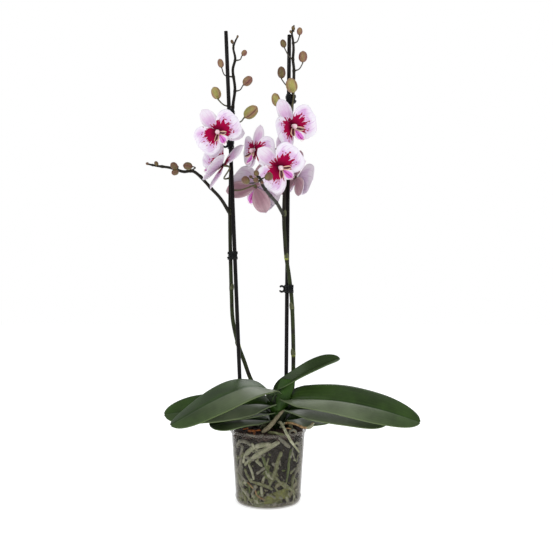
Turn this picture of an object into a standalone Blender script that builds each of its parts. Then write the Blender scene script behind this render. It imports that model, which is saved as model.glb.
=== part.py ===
"""A moth orchid in a clear 120 mm nursery pot: two flower spikes clipped to two stakes.

Metres, +Z up. The origin is the middle of the pot's underside. -Y is the side that the plant shows
to a viewer, so the flowers and the two big front leaves turn that way.
"""

import math

import bmesh
import bpy
from mathutils import Matrix, Vector

MM = 0.001
GAP = 0.4 * MM  # between pieces that touch

# Pot: a turned cup with a rolled rim, a flat underside and a ring of drain holes.
POT_HEIGHT = 112 * MM
POT_RIM_RADIUS = 60 * MM
POT_TOP_RADIUS = 58 * MM
POT_BASE_RADIUS = 50 * MM
POT_WALL = 1.0 * MM
POT_FLOOR = 1.6 * MM
RIM_HEIGHT = 4 * MM
POT_STEPS = 36
DRAIN_HOLES = 6
DRAIN_RADIUS = 4 * MM
DRAIN_RING = 34 * MM

# Potting bark: a plug inside the pot, with room for the roots that run down the wall.
BARK_TOP = 103 * MM
BARK_BOTTOM = POT_FLOOR + GAP
ROOT_ROOM = 6.5 * MM

# Stakes and the short stem (crown) that all leaves grow from.
STAKE_RADIUS = 3.2 * MM
CROWN = ((0.015, 0.000, 0.1036), (0.016, 0.000, 0.135), (0.018, 0.000, 0.166))
CROWN_RADII_MM = (10.0, 9.5, 6.0)


def clear_scene():
    for obj in list(bpy.data.objects):
        bpy.data.objects.remove(obj)


def paint(name, colour, roughness, alpha=1.0):
    material = bpy.data.materials.new(name)
    material.use_nodes = True
    shader = material.node_tree.nodes["Principled BSDF"]
    shader.inputs["Base Color"].default_value = (*colour, 1.0)
    shader.inputs["Roughness"].default_value = roughness
    shader.inputs["Metallic"].default_value = 0.0
    shader.inputs["Alpha"].default_value = alpha
    return material


def make_materials():
    return {
        "pot": paint("clear_plastic", (0.62, 0.61, 0.60), 0.15, 0.3),
        "bark": paint("pine_bark", (0.05, 0.032, 0.025), 0.9),
        "crown": paint("green_stem", (0.045, 0.12, 0.02), 0.45),
        "leaf": paint("orchid_leaf", (0.045, 0.10, 0.03), 0.35),
        "spike": paint("dark_green_spike", (0.035, 0.045, 0.02), 0.5),
        "stake": paint("dark_stake", (0.018, 0.014, 0.016), 0.4),
        "clip": paint("black_clip", (0.01, 0.012, 0.012), 0.35),
        "sepal": paint("pale_sepal", (0.80, 0.62, 0.68), 0.5),
        "petal": paint("lilac_petal", (0.82, 0.62, 0.82), 0.5),
        "lip": paint("crimson_lip", (0.45, 0.04, 0.16), 0.45),
        "bud": paint("olive_bud", (0.38, 0.30, 0.10), 0.45),
        "root": paint("silver_root", (0.30, 0.32, 0.22), 0.7),
    }


def new_object(name, bm, material, parent=None):
    """The bmesh as a named, smooth-shaded object."""
    mesh = bpy.data.meshes.new(name)
    bm.to_mesh(mesh)
    bm.free()
    mesh.materials.append(material)
    mesh.shade_smooth()
    mesh.set_sharp_from_angle(angle=math.radians(40))
    obj = bpy.data.objects.new(name, mesh)
    bpy.context.scene.collection.objects.link(obj)
    obj.parent = parent
    return obj


def combine(obj, helpers, operation):
    """Adds a Boolean with each helper, which is hidden and isn't a piece of its own."""
    for helper in helpers:
        helper.hide_render = True
        helper.display_type = "WIRE"
        modifier = obj.modifiers.new(helper.name, "BOOLEAN")
        modifier.operation = operation
        modifier.object = helper
    return obj


# ---------------------------------------------------------------- paths and sweeps


def curve_point(points, t):
    """A point at t, from 0 to 1, on the smooth Catmull-Rom curve through the points."""
    place = min(max(t, 0.0), 1.0) * (len(points) - 1)
    i = min(int(place), len(points) - 2)
    u = place - i
    p1, p2 = points[i], points[i + 1]
    p0 = points[i - 1] if i > 0 else p1 * 2 - p2
    p3 = points[i + 2] if i + 2 < len(points) else p2 * 2 - p1
    return 0.5 * (
        2 * p1 + (p2 - p0) * u + (2 * p0 - 5 * p1 + 4 * p2 - p3) * u**2 + (3 * (p1 - p2) + p3 - p0) * u**3
    )


def smooth_path(points, count):
    """Points along the smooth curve through the given ones."""
    points = [Vector(p) for p in points]
    return [curve_point(points, i / (count - 1)) for i in range(count)]


def blend_values(values, t):
    """The value at t, from 0 to 1, on straight lines between the listed values."""
    place = min(max(t, 0.0), 1.0) * (len(values) - 1)
    i = min(int(place), len(values) - 2)
    return values[i] + (values[i + 1] - values[i]) * (place - i)


def ring_frames(path, radii):
    """A matrix for each point of the path: across the path, without twist, sized to the radius."""
    frames = []
    side = None
    for i, point in enumerate(path):
        ahead = (path[min(i + 1, len(path) - 1)] - path[max(i - 1, 0)]).normalized()
        if side is None:
            side = ahead.orthogonal().normalized()
        side = (side - ahead * side.dot(ahead)).normalized()
        other = ahead.cross(side)
        turn = Matrix((side, other, ahead)).transposed().to_4x4()
        frames.append(Matrix.Translation(point) @ turn @ Matrix.Scale(radii[i], 4))
    return frames


def sweep(bm, path, radii, sides):
    """A closed tube along the path: a circle extruded from frame to frame, with both ends capped."""
    frames = ring_frames(path, radii)
    ring = bmesh.ops.create_circle(bm, cap_ends=True, segments=sides, radius=1.0, matrix=frames[0])
    edges = list({edge for vert in ring["verts"] for edge in vert.link_edges})
    for before, after in zip(frames, frames[1:]):
        grown = bmesh.ops.extrude_edge_only(bm, edges=edges)["geom"]
        verts = [g for g in grown if isinstance(g, bmesh.types.BMVert)]
        edges = [g for g in grown if isinstance(g, bmesh.types.BMEdge)]
        bmesh.ops.transform(bm, matrix=after @ before.inverted(), verts=verts)
    bmesh.ops.edgeloop_fill(bm, edges=edges)
    bmesh.ops.recalc_face_normals(bm, faces=bm.faces)


def tube(name, points, radii_mm, material, sides=8, count=10, parent=None):
    """A tube along the smooth curve through the points. Its radii, in mm, are spread evenly along it."""
    path = smooth_path(points, count)
    radii = [blend_values(radii_mm, i / (count - 1)) * MM for i in range(count)]
    bm = bmesh.new()
    sweep(bm, path, radii, sides)
    return new_object(name, bm, material, parent)


# ---------------------------------------------------------------- pot, bark, stakes


def wall_radius(z):
    """The pot's outer radius at height z."""
    return POT_BASE_RADIUS + (POT_TOP_RADIUS - POT_BASE_RADIUS) * z / POT_HEIGHT


def turned(name, profile, steps, material):
    """A solid turned about Z from a profile that starts and ends on the axis, outer side top to bottom."""
    bm = bmesh.new()
    verts = [bm.verts.new((r, 0.0, z)) for r, z in profile]
    for a, b in zip(verts, verts[1:]):
        bm.edges.new((a, b))
    obj = new_object(name, bm, material)
    screw = obj.modifiers.new("turn", "SCREW")
    screw.steps = screw.render_steps = steps
    screw.use_merge_vertices = True
    screw.merge_threshold = 0.00005
    return obj


def drain_cutter(index):
    angle = 2 * math.pi * index / DRAIN_HOLES
    bm = bmesh.new()
    bmesh.ops.create_cone(
        bm,
        cap_ends=True,
        segments=10,
        radius1=DRAIN_RADIUS,
        radius2=DRAIN_RADIUS,
        depth=6 * POT_FLOOR,
        matrix=Matrix.Translation((DRAIN_RING * math.cos(angle), DRAIN_RING * math.sin(angle), 0)),
    )
    return new_object(f"drain_cutter_{index}", bm, bpy.data.materials["clear_plastic"])


def make_pot(paints):
    inner_top = POT_TOP_RADIUS - POT_WALL
    profile = [
        (0.0, POT_FLOOR),
        (POT_BASE_RADIUS - POT_WALL - 2 * MM, POT_FLOOR),
        (POT_BASE_RADIUS - POT_WALL, POT_FLOOR + 2 * MM),
        (inner_top, POT_HEIGHT - RIM_HEIGHT),
        (inner_top + 0.6 * MM, POT_HEIGHT),
        (POT_RIM_RADIUS, POT_HEIGHT),
        (POT_RIM_RADIUS, POT_HEIGHT - RIM_HEIGHT),
        (wall_radius(POT_HEIGHT - RIM_HEIGHT), POT_HEIGHT - RIM_HEIGHT),
        (POT_BASE_RADIUS, 2 * MM),
        (POT_BASE_RADIUS - 1.5 * MM, 0.0),
        (0.0, 0.0),
    ]
    pot = turned("pot", profile, POT_STEPS, paints["pot"])
    return combine(pot, [drain_cutter(i) for i in range(DRAIN_HOLES)], "DIFFERENCE")


# Each stake's foot in the bark and its cut top.
STAKES = {
    "left_stake": ((-0.0400, 0.0160, 0.045), (-0.0700, 0.0300, 0.753)),
    "right_stake": ((0.0272, 0.0220, 0.045), (0.0340, 0.0300, 0.747)),
}


def stake_solid(name, foot, top, radius, material):
    return tube(name, (foot, top), (radius / MM, radius / MM), material, sides=10, count=2)


def make_stakes(paints):
    for name, (foot, top) in STAKES.items():
        stake_solid(name, foot, top, STAKE_RADIUS, paints["stake"])


def make_bark(paints):
    """The bark plug, with a blind hole that each stake is pushed into."""
    top = wall_radius(BARK_TOP) - POT_WALL - ROOT_ROOM
    bottom = wall_radius(BARK_BOTTOM) - POT_WALL - ROOT_ROOM
    profile = [
        (0.0, BARK_TOP),
        (0.7 * top, BARK_TOP),
        (top, BARK_TOP - 3 * MM),
        (bottom, BARK_BOTTOM),
        (0.0, BARK_BOTTOM),
    ]
    bark = turned("bark_mix", profile, 24, paints["bark"])
    holes = []
    for name, (foot, top) in STAKES.items():
        foot, top = Vector(foot), Vector(top)
        along = (top - foot).normalized()
        low, high = foot - along * GAP, foot + along * 80 * MM
        holes.append(stake_solid(name + "_hole", low, high, STAKE_RADIUS + GAP, paints["bark"]))
    return combine(bark, holes, "DIFFERENCE")


# ---------------------------------------------------------------- leaves


def leaf_width(t, base):
    """A leaf's width at t along it, as a share of its widest: a narrow foot, widest past the middle."""
    if t < 0.6:
        u = t / 0.6
        return base + (1 - base) * u * u * (3 - 2 * u)
    return max(math.sqrt(max(1 - ((t - 0.6) / 0.4) ** 2.4, 0.0)), 0.08)


def leaf_point(spine, t, s, shape):
    """The leaf's point at t along the spine and s across it, where s runs from -1, the far edge, to 1."""
    here = curve_point(spine, t)
    ahead = (curve_point(spine, t + 0.02) - curve_point(spine, t - 0.02)).normalized()
    near = ahead.cross(Vector((0, 0, 1))).normalized()
    if near.y > 0:
        near = -near
    up = near.cross(ahead)
    if up.z < 0:
        up = -up
    roll = math.radians(shape["roll"]) * min(1.0, t / 0.35)
    fold = math.radians(blend_values(shape["fold"], t))
    half = shape["half_width"] * leaf_width(t, shape["foot"])
    if s >= 0:
        across = near * math.cos(roll - fold) - up * math.sin(roll - fold)
    else:
        across = -near * math.cos(roll + fold) + up * math.sin(roll + fold)
    normal = up * math.cos(roll) + near * math.sin(roll)
    return here + across * half * abs(s) - normal * shape["curl"] * half * s * s


# Every leaf: the points of its midrib from the crown outwards, its widest half width, how far it is
# rolled towards the viewer, how sharply it is folded along the midrib, and how its edges curl down.
LEAVES = {
    "young_leaf": {
        "spine": (
            (0.0205, -0.001, 0.1690), (0.033, -0.004, 0.181), (0.060, -0.004, 0.199), (0.088, 0.002, 0.212),
            (0.113, 0.008, 0.220),
        ),
        "half_width": 0.0155, "roll": 34, "fold": (42, 36, 30, 20), "foot": 0.55, "curl": 0.02,
    },
    "front_left_leaf": {
        "spine": (
            (0.0070, -0.006, 0.160), (-0.006, -0.020, 0.176), (-0.036, -0.045, 0.180), (-0.082, -0.075, 0.164),
            (-0.137, -0.100, 0.135),
        ),
        "half_width": 0.035, "roll": 16, "fold": (35, 10, 0, -4), "foot": 0.45, "curl": 0.10,
    },
    "front_right_leaf": {
        "spine": (
            (0.0270, -0.004, 0.152), (0.045, -0.012, 0.158), (0.105, -0.032, 0.159), (0.168, -0.050, 0.149),
            (0.225, -0.062, 0.132),
        ),
        "half_width": 0.034, "roll": 33, "fold": (38, 18, 11, 8), "foot": 0.48, "curl": 0.12,
    },
    "middle_left_leaf": {
        "spine": (
            (0.0060, -0.004, 0.146), (-0.020, -0.012, 0.151), (-0.062, -0.026, 0.149), (-0.110, -0.040, 0.146),
            (-0.155, -0.048, 0.141),
        ),
        "half_width": 0.030, "roll": 36, "fold": (28, 12, 8, 5), "foot": 0.48, "curl": 0.10,
    },
    "lower_right_leaf": {
        "spine": (
            (0.0272, -0.003, 0.138), (0.056, -0.007, 0.142), (0.100, -0.010, 0.139), (0.148, -0.012, 0.134),
            (0.188, -0.016, 0.127),
        ),
        "half_width": 0.032, "roll": 34, "fold": (26, 14, 10, 6), "foot": 0.42, "curl": 0.10,
    },
    "back_left_leaf": {
        "spine": (
            (0.0050, 0.001, 0.132), (-0.030, -0.009, 0.137), (-0.070, -0.008, 0.139), (-0.115, 0.006, 0.140),
            (-0.156, 0.018, 0.142),
        ),
        "half_width": 0.028, "roll": 25, "fold": (26, 12, 8, 5), "foot": 0.48, "curl": 0.08,
    },
    "lowest_right_leaf": {
        "spine": (
            (0.0280, 0.002, 0.125), (0.045, 0.004, 0.128), (0.062, 0.008, 0.129), (0.080, 0.014, 0.128),
            (0.098, 0.022, 0.126),
        ),
        "half_width": 0.026, "roll": 32, "fold": (24, 12, 8, 5), "foot": 0.48, "curl": 0.06,
    },
    "lowest_left_leaf": {
        "spine": (
            (0.0040, 0.000, 0.121), (-0.018, -0.006, 0.125), (-0.042, -0.016, 0.127), (-0.066, -0.025, 0.125),
            (-0.088, -0.034, 0.121),
        ),
        "half_width": 0.025, "roll": 20, "fold": (24, 12, 6, 5), "foot": 0.45, "curl": 0.05,
    },
}
LEAF_THICKNESS = 1.8 * MM


def sheet(bm, along, across, place):
    """A grid whose point at t and s, from 0 to 1 and from -1 to 1, goes where place says."""
    grid = bmesh.ops.create_grid(bm, x_segments=along, y_segments=across, size=0.5)
    for vert in grid["verts"]:
        vert.co = place(vert.co.x + 0.5, vert.co.y * 2)


def solidify(obj, thickness):
    modifier = obj.modifiers.new("thickness", "SOLIDIFY")
    modifier.thickness = thickness
    modifier.offset = 0.0
    return obj


def make_leaves(paints):
    for name, shape in LEAVES.items():
        spine = [Vector(p) for p in shape["spine"]]
        bm = bmesh.new()
        sheet(bm, 9, 4, lambda t, s: leaf_point(spine, t, s, shape))
        solidify(new_object(name, bm, paints["leaf"]), LEAF_THICKNESS)


# ---------------------------------------------------------------- flower spikes


SPIKES = {
    "left_spike": {
        "stem": (
            (0.0030, 0.0110, 0.140), (-0.0100, 0.0200, 0.156), (-0.0280, 0.0290, 0.183), (-0.0400, 0.0340, 0.214),
            (-0.0500, 0.0340, 0.242), (-0.0580, 0.0320, 0.280), (-0.0600, 0.0310, 0.320), (-0.0612, 0.0300, 0.360),
            (-0.0622, 0.0300, 0.400), (-0.0628, 0.0310, 0.440), (-0.0630, 0.0350, 0.480), (-0.0620, 0.0380, 0.530),
            (-0.0610, 0.0390, 0.580), (-0.0590, 0.0390, 0.630), (-0.0555, 0.0370, 0.660), (-0.0590, 0.0360, 0.690),
            (-0.0550, 0.0350, 0.709), (-0.0580, 0.0340, 0.727), (-0.0530, 0.0330, 0.742),
        ),
        "radii": (3.2, 3.0, 2.9, 2.8, 2.6, 2.3, 1.9, 1.5, 0.9),
        "branch": (
            (-0.0628, 0.0300, 0.452), (-0.0760, 0.0170, 0.474), (-0.0900, 0.0080, 0.489), (-0.1150, -0.0100, 0.513),
            (-0.1330, -0.0150, 0.513), (-0.1520, -0.0200, 0.518), (-0.1730, -0.0200, 0.521), (-0.1880, -0.0200, 0.524),
        ),
        "branch_radii": (2.4, 2.2, 2.1, 2.0, 1.9, 1.7, 1.4, 1.0),
    },
    "right_spike": {
        "stem": (
            (0.0270, 0.0120, 0.140), (0.0350, 0.0160, 0.156), (0.0390, 0.0190, 0.176), (0.0400, 0.0200, 0.205),
            (0.0400, 0.0195, 0.240), (0.0390, 0.0185, 0.280), (0.0370, 0.0172, 0.318), (0.0330, 0.0160, 0.352),
            (0.0285, 0.0160, 0.382), (0.0265, 0.0170, 0.410), (0.0250, 0.0185, 0.440), (0.0255, 0.0195, 0.475),
            (0.0270, 0.0200, 0.510), (0.0310, 0.0208, 0.560), (0.0365, 0.0230, 0.610), (0.0405, 0.0270, 0.655),
            (0.0415, 0.0290, 0.688), (0.0400, 0.0300, 0.706), (0.0410, 0.0300, 0.723), (0.0400, 0.0300, 0.738),
            (0.0385, 0.0300, 0.750), (0.0420, 0.0300, 0.763),
        ),
        "radii": (3.2, 3.0, 2.9, 2.8, 2.6, 2.3, 1.9, 1.5, 0.9),
        "branch": (
            (0.0250, 0.0190, 0.448), (0.0200, 0.0050, 0.455), (0.0135, -0.0180, 0.463), (0.0060, -0.0450, 0.468),
            (-0.0005, -0.0660, 0.473), (-0.0065, -0.0820, 0.479), (-0.0100, -0.0950, 0.487), (-0.0145, -0.1080, 0.490),
        ),
        "branch_radii": (2.4, 2.2, 2.1, 2.1, 2.0, 1.9, 1.7, 1.3),
    },
}


def make_spikes(paints):
    """Each spike is one grown piece: its main stem with the side branch joined on."""
    for name, spike in SPIKES.items():
        branch = tube(name + "_branch", spike["branch"], spike["branch_radii"], paints["spike"], sides=6, count=11)
        stem = tube(name, spike["stem"], spike["radii"], paints["spike"], sides=7, count=34)
        combine(stem, [branch], "UNION")


def at_height(points, z):
    """The point at height z on the smooth curve through points that rise."""
    points = [Vector(p) for p in points]
    steps = [curve_point(points, i / 400) for i in range(401)]
    return min(steps, key=lambda p: abs(p.z - z))


def stalk_start(spike, z, towards, stalk_radius):
    """Where a stalk starts at height z of a spike's stem, clear of the stem on the side that it leaves."""
    stem = [Vector(p) for p in SPIKES[spike]["stem"]]
    radii = SPIKES[spike]["radii"]
    share = min(range(401), key=lambda i: abs(curve_point(stem, i / 400).z - z)) / 400
    here = curve_point(stem, share)
    along = (curve_point(stem, share + 0.01) - curve_point(stem, share - 0.01)).normalized()
    out = Vector(towards) - here
    out = (out - along * out.dot(along)).normalized()
    return here + out * (blend_values(radii, share) * MM + stalk_radius + GAP)


def branch_start(spike, share, towards, stalk_radius):
    """The same on a spike's side branch, at a share of the branch's length."""
    branch = [Vector(p) for p in SPIKES[spike]["branch"]]
    radii = SPIKES[spike]["branch_radii"]
    here = curve_point(branch, share)
    along = (curve_point(branch, share + 0.01) - curve_point(branch, share - 0.01)).normalized()
    out = Vector(towards) - here
    out = (out - along * out.dot(along)).normalized()
    return here + out * (blend_values(radii, share) * MM + stalk_radius + GAP)


# ---------------------------------------------------------------- buds


# Every bud on a stem: its spike, the height that its stalk leaves at, a point that the stalk passes,
# the bud's middle, the way its tip points, its length and its widest diameter.
STEM_BUDS = {
    "left_bud_1": ("left_spike", 0.603, (-0.046, 0.026, 0.602), (-0.028, 0.004, 0.612), (0.75, -0.10, 0.62), 0.027, 0.0185),
    "left_bud_2": ("left_spike", 0.630, (-0.073, 0.034, 0.632), (-0.084, 0.008, 0.644), (-0.35, -0.05, 0.93), 0.021, 0.0155),
    "left_bud_3": ("left_spike", 0.656, (-0.047, 0.034, 0.657), (-0.034, 0.022, 0.668), (0.72, -0.15, 0.66), 0.019, 0.0140),
    "left_bud_4": ("left_spike", 0.679, (-0.072, 0.036, 0.682), (-0.078, 0.022, 0.697), (-0.25, -0.05, 0.96), 0.015, 0.0100),
    "left_bud_5": ("left_spike", 0.706, (-0.047, 0.033, 0.707), (-0.040, 0.030, 0.717), (0.60, -0.10, 0.79), 0.011, 0.0090),
    "right_bud_1": ("right_spike", 0.600, (0.024, 0.013, 0.606), (0.012, 0.004, 0.632), (-0.20, -0.05, 0.97), 0.022, 0.0140),
    "right_bud_2": ("right_spike", 0.621, (0.0385, 0.014, 0.624), (0.037, -0.002, 0.653), (-0.28, -0.20, 0.93), 0.024, 0.0185),
    "right_bud_3": ("right_spike", 0.655, (0.031, 0.018, 0.657), (0.021, 0.016, 0.680), (-0.05, 0.00, 1.00), 0.020, 0.0132),
    "right_bud_4": ("right_spike", 0.687, (0.050, 0.026, 0.689), (0.056, 0.022, 0.708), (0.05, 0.00, 1.00), 0.019, 0.0142),
    "right_bud_5": ("right_spike", 0.706, (0.033, 0.0220, 0.709), (0.024, 0.018, 0.728), (-0.28, 0.00, 0.95), 0.014, 0.0098),
    "right_bud_6": ("right_spike", 0.733, (0.047, 0.030, 0.736), (0.051, 0.030, 0.753), (0.05, 0.00, 1.00), 0.013, 0.0094),
}
# Every bud on a side branch, with the share of the branch's length in place of the height.
BRANCH_BUDS = {
    "left_branch_bud_1": ("left_spike", 0.480, (-0.1130, -0.016, 0.520), (-0.1225, -0.024, 0.524), (-0.95, -0.20, 0.10), 0.015, 0.0120),
    "left_branch_bud_2": ("left_spike", 0.640, (-0.1400, -0.022, 0.520), (-0.1450, -0.030, 0.519), (-0.60, -0.40, 0.60), 0.013, 0.0108),
    "right_branch_bud_1": ("right_spike", 0.830, (-0.0190, -0.094, 0.482), (-0.031, -0.104, 0.484), (-0.45, -0.80, 0.35), 0.014, 0.0115),
    "right_branch_bud_2": ("right_spike", 0.850, (-0.0040, -0.097, 0.489), (0.002, -0.106, 0.489), (0.45, -0.80, 0.35), 0.014, 0.0115),
}
STALK_RADIUS = 1.1 * MM
STALK_RINGS = 4
BUD_PROFILE = ((0.00, 0.30), (0.16, 0.78), (0.48, 1.00), (0.80, 0.74), (1.00, 0.16))


def make_bud(name, start, way, middle, tip, length, width, paints):
    """A bud and its stalk are one sweep: a thin stalk that swells into an egg with a blunt tip."""
    axis = Vector(tip).normalized()
    base = Vector(middle) - axis * length / 2
    stalk = smooth_path((start, way, base - axis * 0.5 * MM), STALK_RINGS)
    path = stalk + [base + axis * length * share for share, _ in BUD_PROFILE]
    radii = [STALK_RADIUS] * STALK_RINGS + [size * width / 2 for _, size in BUD_PROFILE]
    bm = bmesh.new()
    sweep(bm, path, radii, 8)
    new_object(name, bm, paints["bud"])


def make_buds(paints):
    for name, (spike, z, way, middle, tip, length, width) in STEM_BUDS.items():
        start = stalk_start(spike, z, way, STALK_RADIUS)
        make_bud(name, start, way, middle, tip, length, width, paints)
    for name, (spike, share, way, middle, tip, length, width) in BRANCH_BUDS.items():
        start = branch_start(spike, share, way, STALK_RADIUS)
        make_bud(name, start, way, middle, tip, length, width, paints)


# ---------------------------------------------------------------- flowers


# Every flower: its middle, the way its face looks, how far its top is turned anticlockwise as seen
# from the front, its size, how far forwards its top sepal, its side sepals and its petals lean, and
# its spike, with the height that the stalk leaves at and a point that the stalk passes.
FLOWERS = {
    "flower_1": ((-0.077, -0.034, 0.5705), (0.02, -0.96, -0.22), 36, 0.97, (-3, -3, 5), "left_spike", 0.588, (-0.0740, 0.034, 0.586)),
    "flower_2": ((-0.071, 0.000, 0.526), (-0.820, -0.42, 0.30), -48, 1.10, (-10, 14, 31), "left_spike", 0.512, (-0.0725, 0.028, 0.510)),
    "flower_3": ((-0.019, -0.004, 0.548), (-0.72, -0.68, -0.12), -10, 0.97, (-10, -10, -12), "right_spike", 0.552, (0.0170, 0.012, 0.555)),
    "flower_4": ((-0.022, 0.048, 0.499), (0.10, 0.97, -0.12), 29, 1.16, (-3, -3, 6), "left_spike", 0.492, (-0.0450, 0.034, 0.492)),
    "flower_5": ((0.0355, -0.022, 0.582), (0.52, -0.83, -0.20), 32, 1.06, (-3, -3, 24), "right_spike", 0.580, (0.0300, 0.008, 0.584)),
    "flower_6": ((0.0175, -0.060, 0.511), (0.22, -0.93, -0.28), 52, 1.00, (-3, -3, 5), "right_spike", 0.500, (0.0230, 0.000, 0.502)),
    "flower_7": ((0.0445, 0.031, 0.512), (0.80, 0.52, -0.16), 10, 1.04, (-3, -3, 8), "right_spike", 0.520, (0.0390, 0.0150, 0.520)),
}
# Outline of a sepal and of a petal: half width at each share of the length.
SEPAL_OUTLINE = (0.12, 0.64, 0.96, 1.00, 0.84, 0.14)
PETAL_OUTLINE = (0.14, 0.66, 0.96, 1.00, 0.86, 0.20)
SEPALS = ((90, 41.0, 12.5), (90 + 128, 41.0, 12.5), (90 - 128, 41.0, 12.5))
PETALS = ((90 + 92, 37.0, 24.5), (90 - 92, 37.0, 24.5))
HUB_RADIUS = 4.4
SEPAL_LAYER = 0.0
PETAL_LAYER = 3.0
BLADE_THICKNESS = 0.9 * MM
BLADE_START = 1.3


def blade(name, angle, length, half, outline, lean, layer, parent, material):
    """One sepal or petal, in the flower's own frame: +Z is the way it faces, +Y its top. In mm."""
    turn = Matrix.Rotation(math.radians(angle), 4, "Z")
    rise, run = math.sin(math.radians(lean)), math.cos(math.radians(lean))

    def place(t, s):
        width = half * blend_values(outline, t) * s
        height = layer + length * rise * t - 0.035 * half * s * s * t
        return turn @ Vector(((BLADE_START + length * t * run) * MM, width * MM, height * MM))

    bm = bmesh.new()
    sheet(bm, 5, 2, place)
    return solidify(new_object(name, bm, material, parent), BLADE_THICKNESS)


def hub(name, layer, height, parent, material):
    """The small boss where a layer of petals or sepals joins."""
    bm = bmesh.new()
    bmesh.ops.create_cone(
        bm, cap_ends=True, segments=10, radius1=HUB_RADIUS * MM, radius2=HUB_RADIUS * MM,
        depth=height * MM, matrix=Matrix.Translation((0, 0, layer * MM)),
    )
    return new_object(name, bm, material, parent)


def make_sepals(name, leans, parent, stalk, paints):
    """The three sepals behind the petals, with the flower's stalk."""
    blades = [
        blade(f"{name}_sepal_{i}", angle, length, half, SEPAL_OUTLINE, leans[min(i, 1)], SEPAL_LAYER, parent, paints["sepal"])
        for i, (angle, length, half) in enumerate(SEPALS)
    ]
    body = hub(f"{name}_sepals", SEPAL_LAYER, 2.4, parent, paints["sepal"])
    stem = tube(f"{name}_stalk", stalk, (1.4, 1.3, 1.4, 2.0), paints["sepal"], sides=6, count=8, parent=parent)
    return combine(body, [*blades, stem], "UNION")


def make_petals(name, lean, parent, paints):
    """The two broad petals in front of the sepals."""
    blades = [
        blade(f"{name}_petal_{i}", angle, length, half, PETAL_OUTLINE, lean, PETAL_LAYER, parent, paints["petal"])
        for i, (angle, length, half) in enumerate(PETALS)
    ]
    body = hub(f"{name}_petals", PETAL_LAYER, 1.8, parent, paints["petal"])
    return combine(body, blades, "UNION")


def lobe(name, spine, widths, lean, parent, material):
    """A small lobe of the lip: a sheet along a spine, lean gives the way across it. In mm."""
    points = [Vector(p) * MM for p in spine]
    across = Vector(lean).normalized()
    bm = bmesh.new()
    sheet(bm, 4, 1, lambda t, s: curve_point(points, t) + across * blend_values(widths, t) * s * MM)
    return solidify(new_object(name, bm, material, parent), 1.0 * MM)


def make_lip(name, parent, paints):
    """The lip's three lobes and the column above them, as one piece."""
    column = tube(
        f"{name}_lip",
        [Vector(p) * MM for p in ((0, 0.5, 4.4), (0, 0.6, 8.0), (0, 0.0, 11.5), (0, -1.5, 14.0))],
        (3.0, 2.8, 3.4, 2.2), paints["lip"], sides=7, count=5, parent=parent,
    )
    middle = lobe(
        f"{name}_middle_lobe", ((0, 0, 5.2), (0, -5, 7.5), (0, -11, 10.5), (0, -17, 15.5), (0, -20, 21.0)),
        (2.0, 3.0, 6.5, 5.0, 1.2), (1, 0, 0), parent, paints["lip"],
    )
    sides = [
        lobe(
            f"{name}_side_lobe_{side}", ((side * 0.5, -0.5, 6.5), (side * 5, -3.5, 9.5), (side * 9.5, -4.0, 13.5), (side * 12.5, -1.5, 18.0)),
            (1.6, 2.4, 3.0, 1.4), (side * 0.2, -0.85, 0.5), parent, paints["lip"],
        )
        for side in (-1, 1)
    ]
    return combine(column, [middle, *sides], "UNION")


def flower_matrix(middle, facing, roll):
    """The flower's frame: +Z along its face, +Y up and then turned anticlockwise by roll."""
    ahead = Vector(facing).normalized()
    right = Vector((0, 0, 1)).cross(ahead).normalized()
    up = ahead.cross(right)
    turn = Matrix((right, up, ahead)).transposed().to_4x4()
    return Matrix.Translation(Vector(middle)) @ turn @ Matrix.Rotation(math.radians(roll), 4, "Z")


def make_flowers(paints):
    for name, (middle, facing, roll, size, leans, spike, z, way) in FLOWERS.items():
        frame = flower_matrix(middle, facing, roll) @ Matrix.Scale(size, 4)
        centre = bpy.data.objects.new(name, None)
        bpy.context.scene.collection.objects.link(centre)
        centre.matrix_world = frame
        start = stalk_start(spike, z, way, 1.4 * MM)
        route = (start, Vector(way), frame @ Vector((0, 0, -10 * MM)), frame @ Vector((0, 0, 0.4 * MM)))
        stalk = [frame.inverted() @ p for p in route]
        make_sepals(name, leans, centre, stalk, paints)
        make_petals(name, leans[2], centre, paints)
        make_lip(name, centre, paints)


# ---------------------------------------------------------------- clips


# Every clip: the stake it holds, the spike beside it and the height of its middle.
CLIPS = {
    "left_lower_clip": ("left_stake", "left_spike", 0.384),
    "left_upper_clip": ("left_stake", "left_spike", 0.6165),
    "right_lower_clip": ("right_stake", "right_spike", 0.330),
    "right_upper_clip": ("right_stake", "right_spike", 0.6395),
}
CLIP_HEIGHT = 11 * MM
CLIP_WALL = 1.4 * MM


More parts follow.
